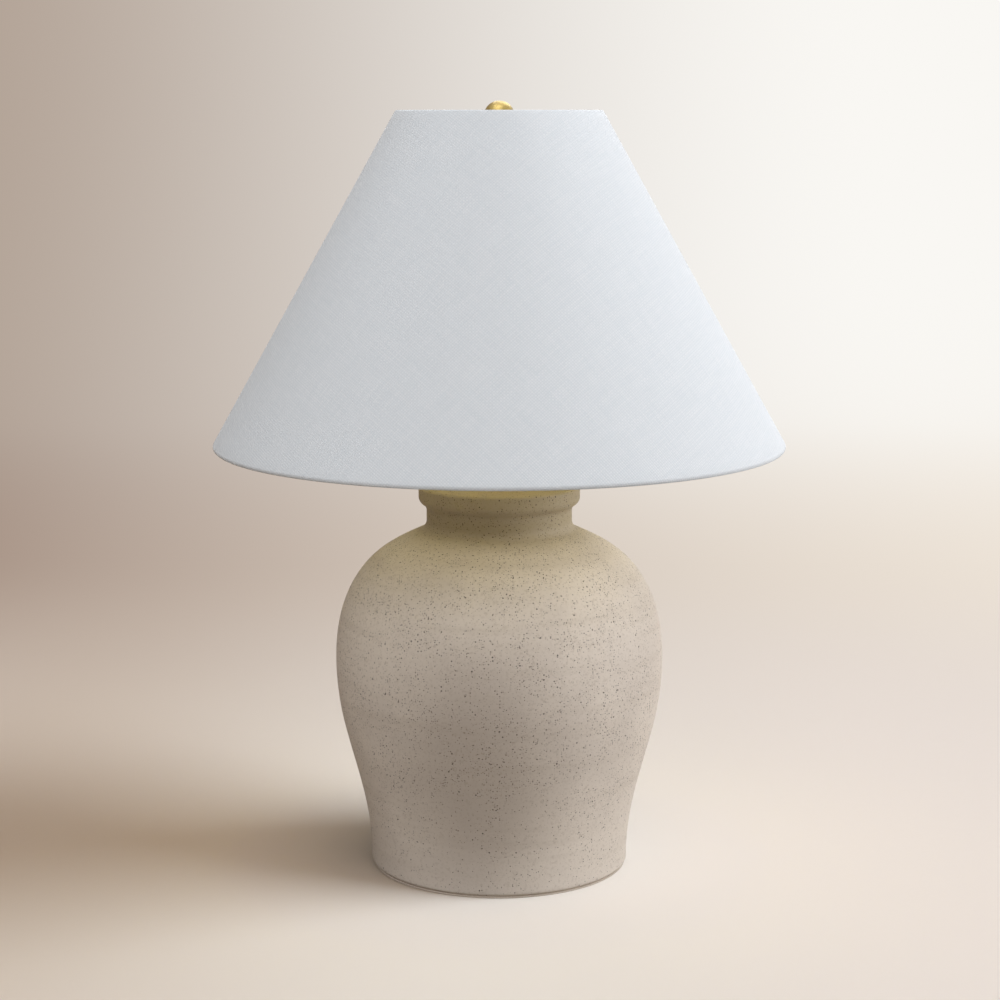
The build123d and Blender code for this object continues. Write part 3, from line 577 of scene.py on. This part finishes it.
def pressed_fibre(name, colour, fibre_colour, fibre_mm, squeeze, roughness, depth_mm):
    """Short fibres that lie across each other in a pressed sheet."""
    material, add, shader, place = new_material(name)
    ways = [streaks(add, place, share, fibre_mm, Detail=4)
            for share in ((1, squeeze, 1), (squeeze, 1, 1))]
    fibres = add("Math", ways, "MAXIMUM")
    top = add("MapRange", [fibres, 0.45, 0.75, 0, 1], **eased)
    tone = add("Mix", {0: top, 6: colour, 7: fibre_colour}, **coloured)
    dress(add, shader, tone, roughness, fibres, depth_mm * mm)
    return material


# Slot, material's name, ground and fibre colours, fibre width in mm, squeeze, roughness, depth.
for slot, *recipe in (
        ("felt", "undyed_wool_felt", "#CBBEAE", "#DED3C6", 0.5, 0.2, 0.95, 0.3),
        ("fibreboard", "brown_hardboard", "#7A5C3E", "#94734F", 0.7, 0.15, 0.7, 0.08),
        ("insulating_paper", "grey_brown_fish_paper", "#7A6350", "#8D7662", 0.4, 0.1, 0.75, 0.03)):
    finishes[slot] = pressed_fibre(*recipe)

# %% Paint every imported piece
for row in frame["record"]["subparts"]:
    nodes[row["node"]].material_slots[0].material = finishes[row["material_slot"]]
print(len(finishes), "finishes on", len(nodes), "pieces")

# %% [markdown]
# ## A lathe in Geometry Nodes
#
# The jar, the shade and every threaded or spun part are turned shapes: an outline of radius and
# height, carried round an axis. One node tree does that for all of them. It lays out a grid with a
# row for each point of the outline and a column for each step round, reads the outline's point for
# each row and wraps the grid round Z.
#
# The same tree can roll a screw thread into the wall, because a thread is a wave whose phase
# climbs one pitch a turn. It can ripple the wall as a wheel does, and lap one edge over the other
# as a shade's seam does. It also keeps the flat cut of a cone, for cloth.

# %% The lathe tree
lathe_inputs = {"Steps": 96, "Thread Pitch": mm, "Seam Width": mm, "Material": None}
for label in ("Thread Depth", "Thread Start", "Thread End", "Ripple Depth", "Ripple Start",
              "Ripple End", "Seam Height", "Seam Crowding", "Cone Share"):
    lathe_inputs[label] = 0.0
ripple_spacing_mm = 11
sag_spacing_mm = 120
thread_run_in, ripple_run_in, seam_run_in = 0.5 * mm, 8 * mm, 0.7 * mm
weld_distance = 0.002 * mm


def new_tree(name, inputs):
    """An empty modifier tree with named inputs: whole numbers, lengths, shares and a material."""
    tree = bpy.data.node_groups.new(name, "GeometryNodeTree")
    tree.is_modifier = True
    tree.interface.new_socket("Geometry", in_out="OUTPUT", socket_type="NodeSocketGeometry")
    tree.interface.new_socket("Outline", in_out="INPUT", socket_type="NodeSocketGeometry")
    kinds = {int: "NodeSocketInt", float: "NodeSocketFloat", type(None): "NodeSocketMaterial"}
    for label, value in inputs.items():
        socket = tree.interface.new_socket(label, in_out="INPUT", socket_type=kinds[type(value)])
        if value is not None:
            socket.default_value = value
    return tree, partial(add_node, tree)


def lathe_grid(add, given):
    """The flat grid, and which row and column each of its points lies in."""
    count = add("AttributeDomainSize", [given["Outline"]])
    columns = add("Math", [given["Steps"], 1], "ADD")
    grid = add("MeshGrid", {"Vertices X": count.outputs["Point Count"], "Vertices Y": columns})
    index = add("InputIndex")
    row = add("Math", [index, columns], "DIVIDE")
    row = add("Math", [row], "FLOOR")
    column = add("Math", [index, columns], "MODULO")
    return grid, row, column


def lathe_angle(add, given, column):
    """The angle of each column, with the columns drawn together at the seam."""
    share = add("Math", [column, given["Steps"]], "DIVIDE")
    even = add("Math", [share, 2 * math.pi], "MULTIPLY")
    wave = add("Math", [even], "SINE")
    pull = add("Math", [wave, given["Seam Crowding"]], "MULTIPLY")
    return add("Math", [even, pull], "SUBTRACT")


def between(add, value, low, high, run_in):
    """1 between two heights and 0 outside them, with soft ends."""
    masks = []
    for edge, way in ((low, 1), (high, -1)):
        past = add("Math", [value, edge], "SUBTRACT")
        masks.append(add("MapRange", [past, 0, way * run_in, 0, 1], **eased))
    return add("Math", masks, "MULTIPLY")


def around(add, angle, reach, height=0.0):
    """The place at a distance from the middle, in the direction of an angle."""
    ways = [add("Math", [angle], name) for name in ("SINE", "COSINE")]
    flat = [add("Math", [way, reach], "MULTIPLY") for way in ways]
    return add("CombineXYZ", [*flat, height])


def thread_wave(add, given, height, angle):
    """How much of its depth the thread lies under the crest at each point."""
    climb = add("Math", [height, given["Thread Pitch"]], "DIVIDE")
    climb = add("Math", [climb, 2 * math.pi, angle], "MULTIPLY_ADD")
    wave = add("Math", [climb], "COSINE")
    return add("Math", [wave, -0.5, 0.5], "MULTIPLY_ADD")


def ripple_wave(add, height, angle, radius):
    """How much of their depth a wheel's ripples and a slow sag lie under the true wall."""
    place = around(add, angle, radius, height)
    slow = add("TexNoise", sized(place, sag_spacing_mm))
    rings = streaks(add, place, level_squeeze, ripple_spacing_mm, Detail=2.0)
    return add("Math", [slow.outputs[0], rings.outputs[0]], "ADD")


def seam_rise(add, given, angle, radius):
    """How far the lapped edge stands up, from the seam to the seam's width."""
    along = add("Math", [angle, radius], "MULTIPLY")
    lap = between(add, along, 0.0, given["Seam Width"], seam_run_in)
    return add("Math", [lap, given["Seam Height"]], "MULTIPLY")


def flat_place(add, given, angle, slant):
    """Where each point lies on the flat cut of a cone, in metres."""
    front = add("Math", [angle, math.pi], "SUBTRACT")
    turn = add("Math", [front, given["Cone Share"]], "MULTIPLY")
    place = around(add, turn, slant)
    return add("FieldOnDomain", [place], data_type="FLOAT_VECTOR", domain="POINT")


def lathe_tree():
    tree, add = new_tree("turned_on_a_lathe", lathe_inputs)
    given = add("NodeGroupInput").outputs
    grid, row, column = lathe_grid(add, given)
    position = add("InputPosition")
    point = add("SampleIndex", {"Geometry": given["Outline"], "Value": position, "Index": row},
                data_type="FLOAT_VECTOR")
    radius, slant, height = add("SeparateXYZ", [point]).outputs
    angle = lathe_angle(add, given, column)
    reach = radius
    for kind, wave, run_in in (
            ("Thread", thread_wave(add, given, height, angle), thread_run_in),
            ("Ripple", ripple_wave(add, height, angle, radius), ripple_run_in)):
        mask = between(add, height, given[kind + " Start"], given[kind + " End"], run_in)
        depth = add("Math", [wave, given[kind + " Depth"]], "MULTIPLY")
        cut = add("Math", [depth, mask], "MULTIPLY")
        reach = add("Math", [reach, cut], "SUBTRACT")
    lap = seam_rise(add, given, angle, radius)
    reach = add("Math", [reach, lap], "ADD")
    place = around(add, angle, reach, height)
    wrapped = add("SetPosition", {"Geometry": grid, "Position": place})
    flat = flat_place(add, given, angle, slant)
    named = add("StoreNamedAttribute", {"Geometry": wrapped, "Name": flat_cut, "Value": flat},
                data_type="FLOAT2", domain="CORNER")
    welded = add("MergeByDistance", {"Geometry": named, "Distance": weld_distance})
    whole = add("RealizeInstances", [welded])
    painted = add("SetMaterial", {"Geometry": whole, "Material": given["Material"]})
    add("NodeGroupOutput", [painted])
    return tree


lathe = lathe_tree()
print("lathe tree:", len(lathe.nodes), "nodes")

# %% [markdown]
# ## From a tree to a plain mesh
#
# A modifier's inputs are set by the identifier of their socket, and before the object is first
# evaluated. The result then becomes a plain mesh and the modifier goes. A turned shape can come
# out inside out, so its normals are worked out again, and edges sharper than 35 degrees stay sharp
# while the rest shade smoothly.

# %% Plain meshes from trees
sharp_edge = 35.0


def keep_result(piece):
    """Makes what a piece's modifiers give its own plain mesh."""
    ready = piece.evaluated_get(bpy.context.evaluated_depsgraph_get())
    result = bpy.data.meshes.new_from_object(ready)
    piece.modifiers.clear()
    piece.data = result


def grown(name, points, tree, values):
    """A plain mesh object from points that a node tree has worked on."""
    mesh = bpy.data.meshes.new(name)
    mesh.from_pydata(points, [], [])
    piece = new_object(name, mesh)
    modifier = piece.modifiers.new("grow", "NODES")
    modifier.node_group = tree
    for item in tree.interface.items_tree:
        if item.in_out == "INPUT" and item.name in values:
            modifier[item.identifier] = values[item.name]
    keep_result(piece)
    return piece


def outward(piece):
    """Turns every face outwards and keeps sharp edges sharp."""
    shape = bmesh.new()
    shape.from_mesh(piece.data)
    bmesh.ops.recalc_face_normals(shape, faces=shape.faces)
    shape.to_mesh(piece.data)
    open_edges = sum(1 for edge in shape.edges if not edge.is_manifold)
    shape.free()
    piece.data.shade_smooth()
    piece.data.set_sharp_from_angle(angle=math.radians(sharp_edge))
    print(piece.name, len(piece.data.polygons), "faces,", open_edges, "open edges")


def turned(name, outline, finish, **sizes):
    """A piece from the lathe. Each point of the outline is a radius, a height and a slant."""
    points = [(point[0], point[2] if len(point) > 2 else 0.0, point[1]) for point in outline]
    values = {label.replace("_", " ").title(): value for label, value in sizes.items()}
    values["Material"] = finishes[finish]
    piece = grown(name, points, lathe, values)
    outward(piece)
    return piece


def hand_over(piece, body, slot, *replaced):
    """Parents a piece to the body that it moves with, and hides the solids that it stands for."""
    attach(piece, body)
    if replaced:
        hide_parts(*replaced)


# %% [markdown]
# ## Outlines
#
# An outline is walked from point to point like a pen: straight runs, arcs of a known radius and,
# for the jar's side, the smoothest curve through a few points. That curve bends least, as a steel
# spline on a pattern maker's board does.

# %% Outline helpers


def arc(centre, radius, start, end, steps):
    """Points on an arc between two angles, in degrees from the outward direction."""
    angles = [math.radians(start + (end - start) * i / steps) for i in range(steps + 1)]
    return [(centre[0] + radius * math.cos(a), centre[1] + radius * math.sin(a)) for a in angles]


def run(line, end, steps):
    """Carries a line on to a place in even steps."""
    start, end = np.array(line[-1]), np.array(end)
    line += [tuple(start + (end - start) * i / steps) for i in range(1, steps + 1)]


def steel_spline(points, start_way, end_way, steps):
    """The smoothest curve through some points that leaves and arrives in the given directions."""
    knots = np.array(points)
    spans = np.linalg.norm(np.diff(knots, axis=0), axis=1)
    count = len(knots)
    system = np.eye(count)
    known = np.zeros((count, 2))
    known[0], known[-1] = start_way, end_way
    for i in range(1, count - 1):
        before, after = spans[i - 1], spans[i]
        system[i, i - 1:i + 2] = after, 2 * (before + after), before
        known[i] = 3 * (before * (knots[i + 1] - knots[i]) / after
                        + after * (knots[i] - knots[i - 1]) / before)
    slopes = np.linalg.solve(system, known)
    line = []
    for i in range(count - 1):
        for t in np.arange(steps) / steps:
            gone = t * t * (3 - 2 * t)
            place = knots[i] * (1 - gone) + knots[i + 1] * gone
            place = place + spans[i] * t * (1 - t) * ((1 - t) * slopes[i] - t * slopes[i + 1])
            line.append(tuple(place))
    return line + [tuple(knots[-1])]


# %% [markdown]
# ## The jar
#
# The jar is what the eye goes to, so it gets the finest mesh. Its outline starts at the pipe's
# hole in the floor, drops round the foot, climbs the side over the shoulder and the neck to the
# rolled lip, crosses the mouth and comes back down inside. A wheel leaves shallow rings, and
# drying pulls a thin wall a little out of round: up to a third of a millimetre together.
# Glaze fills the crease under the neck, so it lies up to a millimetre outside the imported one. The
# neck and the shoulder stay where they are.

# %% Jar outline
foot_underside, deck_top, belly_radius = jar_low.z, jar_high.z, jar_high.x
foot_radius = 104.9 * mm
foot_round = 3.0 * mm
recess_radius = 95.9 * mm
recess_top = foot_underside + 20.0 * mm
floor_top = recess_top + 8.0 * mm
floor_hole = 6.2 * mm
belly_level = foot_underside + 164.5 * mm
neck_radius = 58.7 * mm
neck_bottom = foot_underside + 279.5 * mm
neck_top = neck_bottom + 11.0 * mm
lip_radius = 65.1 * mm
lip_bottom = neck_top + 11.0 * mm
lip_round = 2.5 * mm
packed_crease_round = 4.0 * mm
crease_round = 8.5 * mm
shoulder_slope = 25.0
wall = 6.5 * mm
deck_thickness = 8.0 * mm
deck_hole = 15.0 * mm
slope_sine, slope_cosine = [way(math.radians(shoulder_slope)) for way in (math.sin, math.cos)]
crease_level = neck_bottom + (crease_round - packed_crease_round) * (1 - slope_sine) / slope_cosine
# Points up the side: the share of the climb, and of the way out to the belly.
lower_shares = ((0, 0), (0.25, 0.13), (0.5, 0.466), (0.75, 0.836))
shoulder_shares = ((0, 1), (0.35, 0.951), (0.62, 0.785), (0.8, 0.552), (0.93, 0.235), (1, 0))


def jar_side(inset, steps):
    """The side from the foot up to the neck, moved inwards by a wall."""
    crease, centre = crease_round + inset, (neck_radius + crease_round, crease_level)
    end = (centre[0] - crease * slope_sine, centre[1] - crease * slope_cosine)
    points = []
    for radius, low, high, shares in (
            (foot_radius - inset, foot_underside + foot_round, belly_level, lower_shares),
            (end[0], belly_level, end[1], shoulder_shares)):
        points += [(radius + out * (belly_radius - inset - radius), low + up * (high - low))
                   for up, out in shares]
    side = steel_spline(points, (0, 1), (-slope_cosine, slope_sine), steps)
    return side + arc(centre, crease, 270 - shoulder_slope, 180, 8)[1:]


def double_bend(start, end, steps):
    """Two equal arcs that carry an upright line sideways."""
    shift, climb = end[0] - start[0], end[1] - start[1]
    turn = 2 * math.degrees(math.atan2(shift, climb))
    radius = climb / (2 * math.sin(math.radians(turn)))
    first = arc((start[0] + radius, start[1]), radius, 180, 180 - turn, steps)
    second = arc((end[0] - radius, end[1]), radius, -turn, 0, steps)
    return first[1:] + second[1:]


def jar_outline():
    line = [(floor_hole, floor_top), (floor_hole, recess_top)]
    run(line, (recess_radius, recess_top), 8)
    run(line, (recess_radius, foot_underside), 3)
    run(line, (foot_radius - foot_round, foot_underside), 2)
    line += arc((foot_radius - foot_round, foot_underside + foot_round), foot_round, -90, 0, 6)[1:]
    line += jar_side(0.0, 22)[1:]
    run(line, (neck_radius, neck_top), 8)
    line += double_bend((neck_radius, neck_top), (lip_radius, lip_bottom), 10)
    run(line, (lip_radius, deck_top - lip_round), 5)
    line += arc((lip_radius - lip_round, deck_top - lip_round), lip_round, 0, 90, 8)[1:]
    run(line, (deck_hole, deck_top), 12)
    line += [(deck_hole, deck_top - deck_thickness)]
    line += [(neck_radius - wall, deck_top - deck_thickness)]
    inside = [p for p in jar_side(wall, 3)[::-1] if p[1] > floor_top + mm]
    line += inside + [(inside[-1][0], floor_top), (floor_hole, floor_top)]
    return line


outline = jar_outline()
print("jar outline:", len(outline), "points")

# %% [markdown]
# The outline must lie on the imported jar. The corners of the solid's mesh say how far off it is:
# most at the filled crease. Then the jar is turned, and the cord's hole is drilled through the back
# of the foot with a boolean cutter.

# %% Jar
cord_hole_radius = 5.5 * mm
cord_hole_level = foot_underside + 10.5 * mm
drill_margin = 5 * mm
throwing_depth = 0.16 * mm


def outline_error(node, points):
    """The widest gap between a solid's corners and the line through the points, in radius."""
    corners = np.array([v.co for v in nodes[node].data.vertices])
    radius = np.hypot(corners[:, 0], corners[:, 1])
    side = np.array([p for p in points if foot_underside + 4 * mm < p[1] < deck_top - 4 * mm])
    side = side[:int(np.argmax(side[:, 1])) + 1]
    on_side = (corners[:, 2] > side[0, 1]) & (corners[:, 2] < side[-1, 1])
    reach = np.interp(corners[:, 2], side[:, 1], side[:, 0])
    close = on_side & (abs(radius - reach) < 2 * mm)
    return abs(radius - reach)[close].max()


def drill(piece, radius, start, end, level):
    """Cuts a round hole along +Y."""
    shape = bmesh.new()
    bmesh.ops.create_cone(shape, cap_ends=True, segments=48, radius1=radius, radius2=radius,
                          depth=end - start)
    cutter_mesh = bpy.data.meshes.new("cutter")
    shape.to_mesh(cutter_mesh)
    shape.free()
    cutter = new_object("cutter", cutter_mesh)
    cutter.rotation_euler = (math.pi / 2, 0, 0)
    cutter.location = (0, (start + end) / 2, level)
    modifier = piece.modifiers.new("drill", "BOOLEAN")
    modifier.object = cutter
    modifier.operation = "DIFFERENCE"
    keep_result(piece)
    bpy.data.objects.remove(cutter)


print("jar outline is within", round(outline_error("ceramic_body", outline) / mm, 2), "mm")
jar = turned("stoneware_jar", outline, "stoneware", steps=256, ripple_depth=throwing_depth,
             ripple_start=foot_underside + foot_round, ripple_end=neck_bottom)
drill(jar, cord_hole_radius, recess_radius - drill_margin, foot_radius + drill_margin,
      cord_hole_level)
hand_over(jar, "root", "stoneware", "ceramic_body")

# %% [markdown]
# ## The shade's cloth
#
# The cloth goes over the cone, rolls round a wire ring at each end and is glued back inside the
# liner. The outline is drawn in slant coordinates: along the slant from a ring's centre, and out
# of it. Each point also says how far it lies from the cone's tip along the cloth, which the lathe
# turns into the flat cut. At the back one edge laps 11 mm over the other.

# %% Shade cloth
shade_low, shade_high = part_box("shade_cover")
shade_bottom_radius = shade_high.x
shade_top_radius = 82.5 * mm
ring_bore = 1.8 * mm
cloth = 0.8 * mm
hem = ring_bore + cloth
liner_back = ring_bore - 0.5 * mm
turned_in = 8.0 * mm
lap_width = 11.0 * mm
lap_height = 0.45 * mm
seam_crowding = 0.85
roll_steps, tuck_steps, slant_steps = 14, 12, 44
tuck_gap = 0.05 * mm


def slant_frame():
    """The two ring centres, the direction up the slant and the direction out of it."""
    bottom = np.array([shade_bottom_radius - hem, shade_low.z + hem])
    top = np.array([shade_top_radius - hem, shade_high.z - hem])
    up = (top - bottom) / np.linalg.norm(top - bottom)
    return bottom, top, up, np.array([up[1], -up[0]])


def roll(centre, inward, out, radius):
    """Points round a ring, from the shade's outside over its edge to its inside."""
    angles = [math.pi * i / roll_steps for i in range(roll_steps + 1)]
    return [centre + radius * (math.cos(a) * out - math.sin(a) * inward) for a in angles]


def tuck(centre, inward, out, layer):
    """The glued allowance behind a ring, from the roll to its cut edge, for one of its faces."""
    settled = liner_back - layer - tuck_gap
    start = -(ring_bore + layer)
    points = []
    for i in range(1, tuck_steps + 1):
        t = i / tuck_steps
        gone = min(1.0, 2 * t)
        gone = gone * gone * (3 - 2 * gone)
        points.append(centre + inward * turned_in * t + out * (start + (settled - start) * gone))
    return points


def walked(points):
    """How far each point lies along the line through all of them."""
    steps = np.linalg.norm(np.diff(np.array(points), axis=0), axis=1)
    return np.append(0.0, np.cumsum(steps))


def cloth_outline():
    bottom, top, up, out = slant_frame()
    tip = bottom[0] / -up[0]
    outer = tuck(top, -up, out, cloth)[::-1] + roll(top, -up, out, hem)[::-1]
    run(outer, bottom + out * hem, slant_steps)
    outer += roll(bottom, up, out, hem)[1:] + tuck(bottom, up, out, cloth)
    inner = tuck(bottom, up, out, 0.0)[::-1] + roll(bottom, up, out, ring_bore)[::-1]
    run(inner, top + out * ring_bore, slant_steps)
    inner += roll(top, -up, out, ring_bore)[1:] + tuck(top, -up, out, 0.0)
    start = tip - np.linalg.norm(bottom - top) - turned_in - math.pi * hem
    slants = start + walked(outer)
    slants = np.append(slants, slants[-1] - walked(inner))
    line = [(p[0], p[1], s) for p, s in zip(outer + inner, slants)]
    return line + [line[0]]


cone_share = -slant_frame()[2][0]
shade_cloth = turned("shade_cloth", cloth_outline(), "shade_linen", steps=288,
                     cone_share=cone_share, seam_height=lap_height, seam_width=lap_width,
                     seam_crowding=seam_crowding)
hand_over(shade_cloth, "shade", "shade_linen", "shade_cover")
print("the cloth's flat cut spans", round(360 * cone_share, 1), "degrees of a ring")

# %% [markdown]
# ## The felt
#
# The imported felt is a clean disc, 4 mm in from the foot's edge. Under five kilos of lamp, wool felt
# is pressed out until it nearly fills the gap under the foot's round edge, which hides the dark
# line there. So a slightly wider disc with a soft edge stands for it.

# %% Felt
felt_low, felt_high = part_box("felt_pad")
felt_spread = 2.7 * mm
felt_edge_round = 0.3 * mm


def felt_outline():
    """Half a flat disc with a soft edge, from the middle of its underside to that of its top."""
    radius = felt_high.x + felt_spread
    low, high, curve = felt_low.z, felt_high.z, felt_edge_round
    line = [(0, low)]
    run(line, (radius - curve, low), 6)
    line += arc((radius - curve, low + curve), curve, -90, 0, 5)[1:]
    line += arc((radius - curve, high - curve), curve, 0, 90, 5)
    run(line, (0, high), 6)
    return line


felt = turned("spread_felt", felt_outline(), "felt", steps=192)
hand_over(felt, "root", "felt", "felt_pad")

# %% [markdown]
# ## Screw threads
#
# The stud that carries the finial has a fine 27-to-the-inch thread, and the bulb's base has the
# coarse rolled one of 7 to the inch. Both are the lathe again, with a dense outline so that each
# pitch has enough points to be round.

# %% Threads
inch = 25.4 * mm
stud_pitch, base_pitch = inch / 27, inch / 7
stud_radius = 3.175 * mm
stud_low, stud_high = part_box("harp_stud")
base_low, base_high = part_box("bulb_screw_base")
base_radius = base_high.x
base_wall = 0.6 * mm


def stud_outline():
    """Head, shank, seat and threaded stem, from the bottom up, with a small lead at the tip."""
    head, shank, seat = 4.0 * mm, 2.4 * mm, 7.0 * mm
    head_top, seat_low, seat_top = [stud_low.z + h * mm for h in (1.6, 4.4, 6.8)]
    head_edge, seat_edge, lead = 0.4 * mm, 0.3 * mm, 0.6 * mm
    line = [(0, stud_low.z), (head - head_edge, stud_low.z), (head, stud_low.z + head_edge)]
    line += [(head, head_top), (shank, head_top), (shank, seat_low)]
    line += [(seat - seat_edge, seat_low), (seat, seat_low + seat_edge)]
    line += [(seat, seat_top - seat_edge), (seat - seat_edge, seat_top), (stud_radius, seat_top)]
    run(line, (stud_radius, stud_high.z - lead), 140)
    return line + [(stud_radius - lead, stud_high.z), (0, stud_high.z)]


def screw_base_outline():
    """A thin rolled shell with a rim turned in at the bottom."""
    low, high, foot = base_low.z, base_high.z, 11.6 * mm
    line = [(foot, low), (base_radius - mm, low), (base_radius, low + mm)]
    run(line, (base_radius, high), 110)
    run(line, (base_radius - base_wall, high), 1)
    run(line, (base_radius - base_wall, low + base_wall), 60)
    return line + [(foot, low + base_wall), (foot, low)]


stud = turned("threaded_stud", stud_outline(), "satin_brass", steps=48, thread_depth=0.5 * mm,
              thread_pitch=stud_pitch, thread_start=stud_low.z + 7.6 * mm,
              thread_end=stud_high.z - 0.5 * mm)
hand_over(stud, "swivel", "satin_brass", "harp_stud")
screw_base = turned("rolled_screw_base", screw_base_outline(), "nickel_shell", steps=96,
                    thread_depth=0.55 * mm, thread_pitch=base_pitch,
                    thread_start=base_low.z + 2 * mm, thread_end=base_high.z - 2 * mm)
hand_over(screw_base, "bulb", "nickel_shell", "bulb_screw_base")

# %% [markdown]
# ## Grip ribs on the knob
#
# Fingers turn the switch by the knob's flat key, so its two broad faces have raised ribs. One rib
# is a ball drawn out to a long bar and half sunk in the face. A second tree lays copies of it along
# a line, makes them real and paints them.

# %% Grip ribs
key_depth, key_half_thickness = 6.5 * mm, 3.0 * mm
rib_radius = 0.45 * mm
rib_length = 8.0 * mm
rib_count = 5
rib_step = 2.3 * mm
rib_inputs = {"Count": rib_count, "Step": rib_step, "Length": rib_length, "Radius": rib_radius,
              "Level": 0.0, "Front": 0.0, "Material": None}


def rib_tree():
    """Round bars along Y, side by side in X, at one level."""
    tree, add = new_tree("row_of_grip_ribs", rib_inputs)
    given = add("NodeGroupInput").outputs
    gaps = add("Math", [given["Count"], 1], "SUBTRACT")
    width = add("Math", [gaps, given["Step"]], "MULTIPLY")
    start = add("Math", [width, -0.5], "MULTIPLY")
    corner = add("CombineXYZ", [start, given["Front"], given["Level"]])
    step = add("CombineXYZ", [given["Step"], 0, 0])
    row = add("MeshLine", {"Count": given["Count"], "Start Location": corner, "Offset": step})
    bar = add("MeshUVSphere", {"Segments": 16, "Rings": 10, "Radius": 1.0})
    half = add("Math", [given["Length"], 0.5], "MULTIPLY")
    scale = add("CombineXYZ", [given["Radius"], half, given["Radius"]])
    ribs = add("InstanceOnPoints",
               {"Points": row, "Instance": bar.outputs["Mesh"], "Scale": scale})
    real = add("RealizeInstances", [ribs])
    painted = add("SetMaterial", {"Geometry": real, "Material": given["Material"]})
    add("NodeGroupOutput", [painted])
    return tree


knob_low, knob_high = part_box("switch_knob")
key_middle = knob_low.y + key_depth
ribs = rib_tree()
for side, key_face in (("lower", -key_half_thickness), ("upper", key_half_thickness)):
    level = (knob_low.z + knob_high.z) / 2 + key_face
    piece = grown(f"knob_ribs_{side}", [(0, 0, 0)], ribs,
                  {"Level": level, "Front": key_middle, "Material": finishes["knob_plastic"]})
    outward(piece)
    hand_over(piece, "switch", "knob_plastic")

# %% [markdown]
# ## The lamp's own glow
#
# In the photograph a little warm light comes from inside the shade, on the liner and on the mouth
# of the jar. A real globe lets its light out, but these solids would stop it, so the small light
# inside the globe is told to pass through the bulb's own pieces. The bulb itself stays unlit. The
# jar stands too near the light, so it is lit only by what the liner sends down. The paper's warm
# sun passes through the shade, because a real shade lets light through and softens its shadow.

# %% Bulb glow
glow_power, glow_colour = 0.34, "#FCEC84"
glow_radius, glow_depth = 28 * mm, 30 * mm

glow = new_light("bulb_glow", "POINT", glow_colour, glow_power, shadow_soft_size=glow_radius)
glow.location = (0, 0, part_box("bulb_globe")[1].z - glow_depth)
link_light(glow, jar, "EXCLUDE")
bodies = frame["record"]["behaviour"]["bodies"]
pass_through(glow, [nodes[name] for name in bodies["bulb"]] + [screw_base])
pass_through(paper_lights["paper_fill"], [nodes[name] for name in bodies["shade"]] + [shade_cloth])
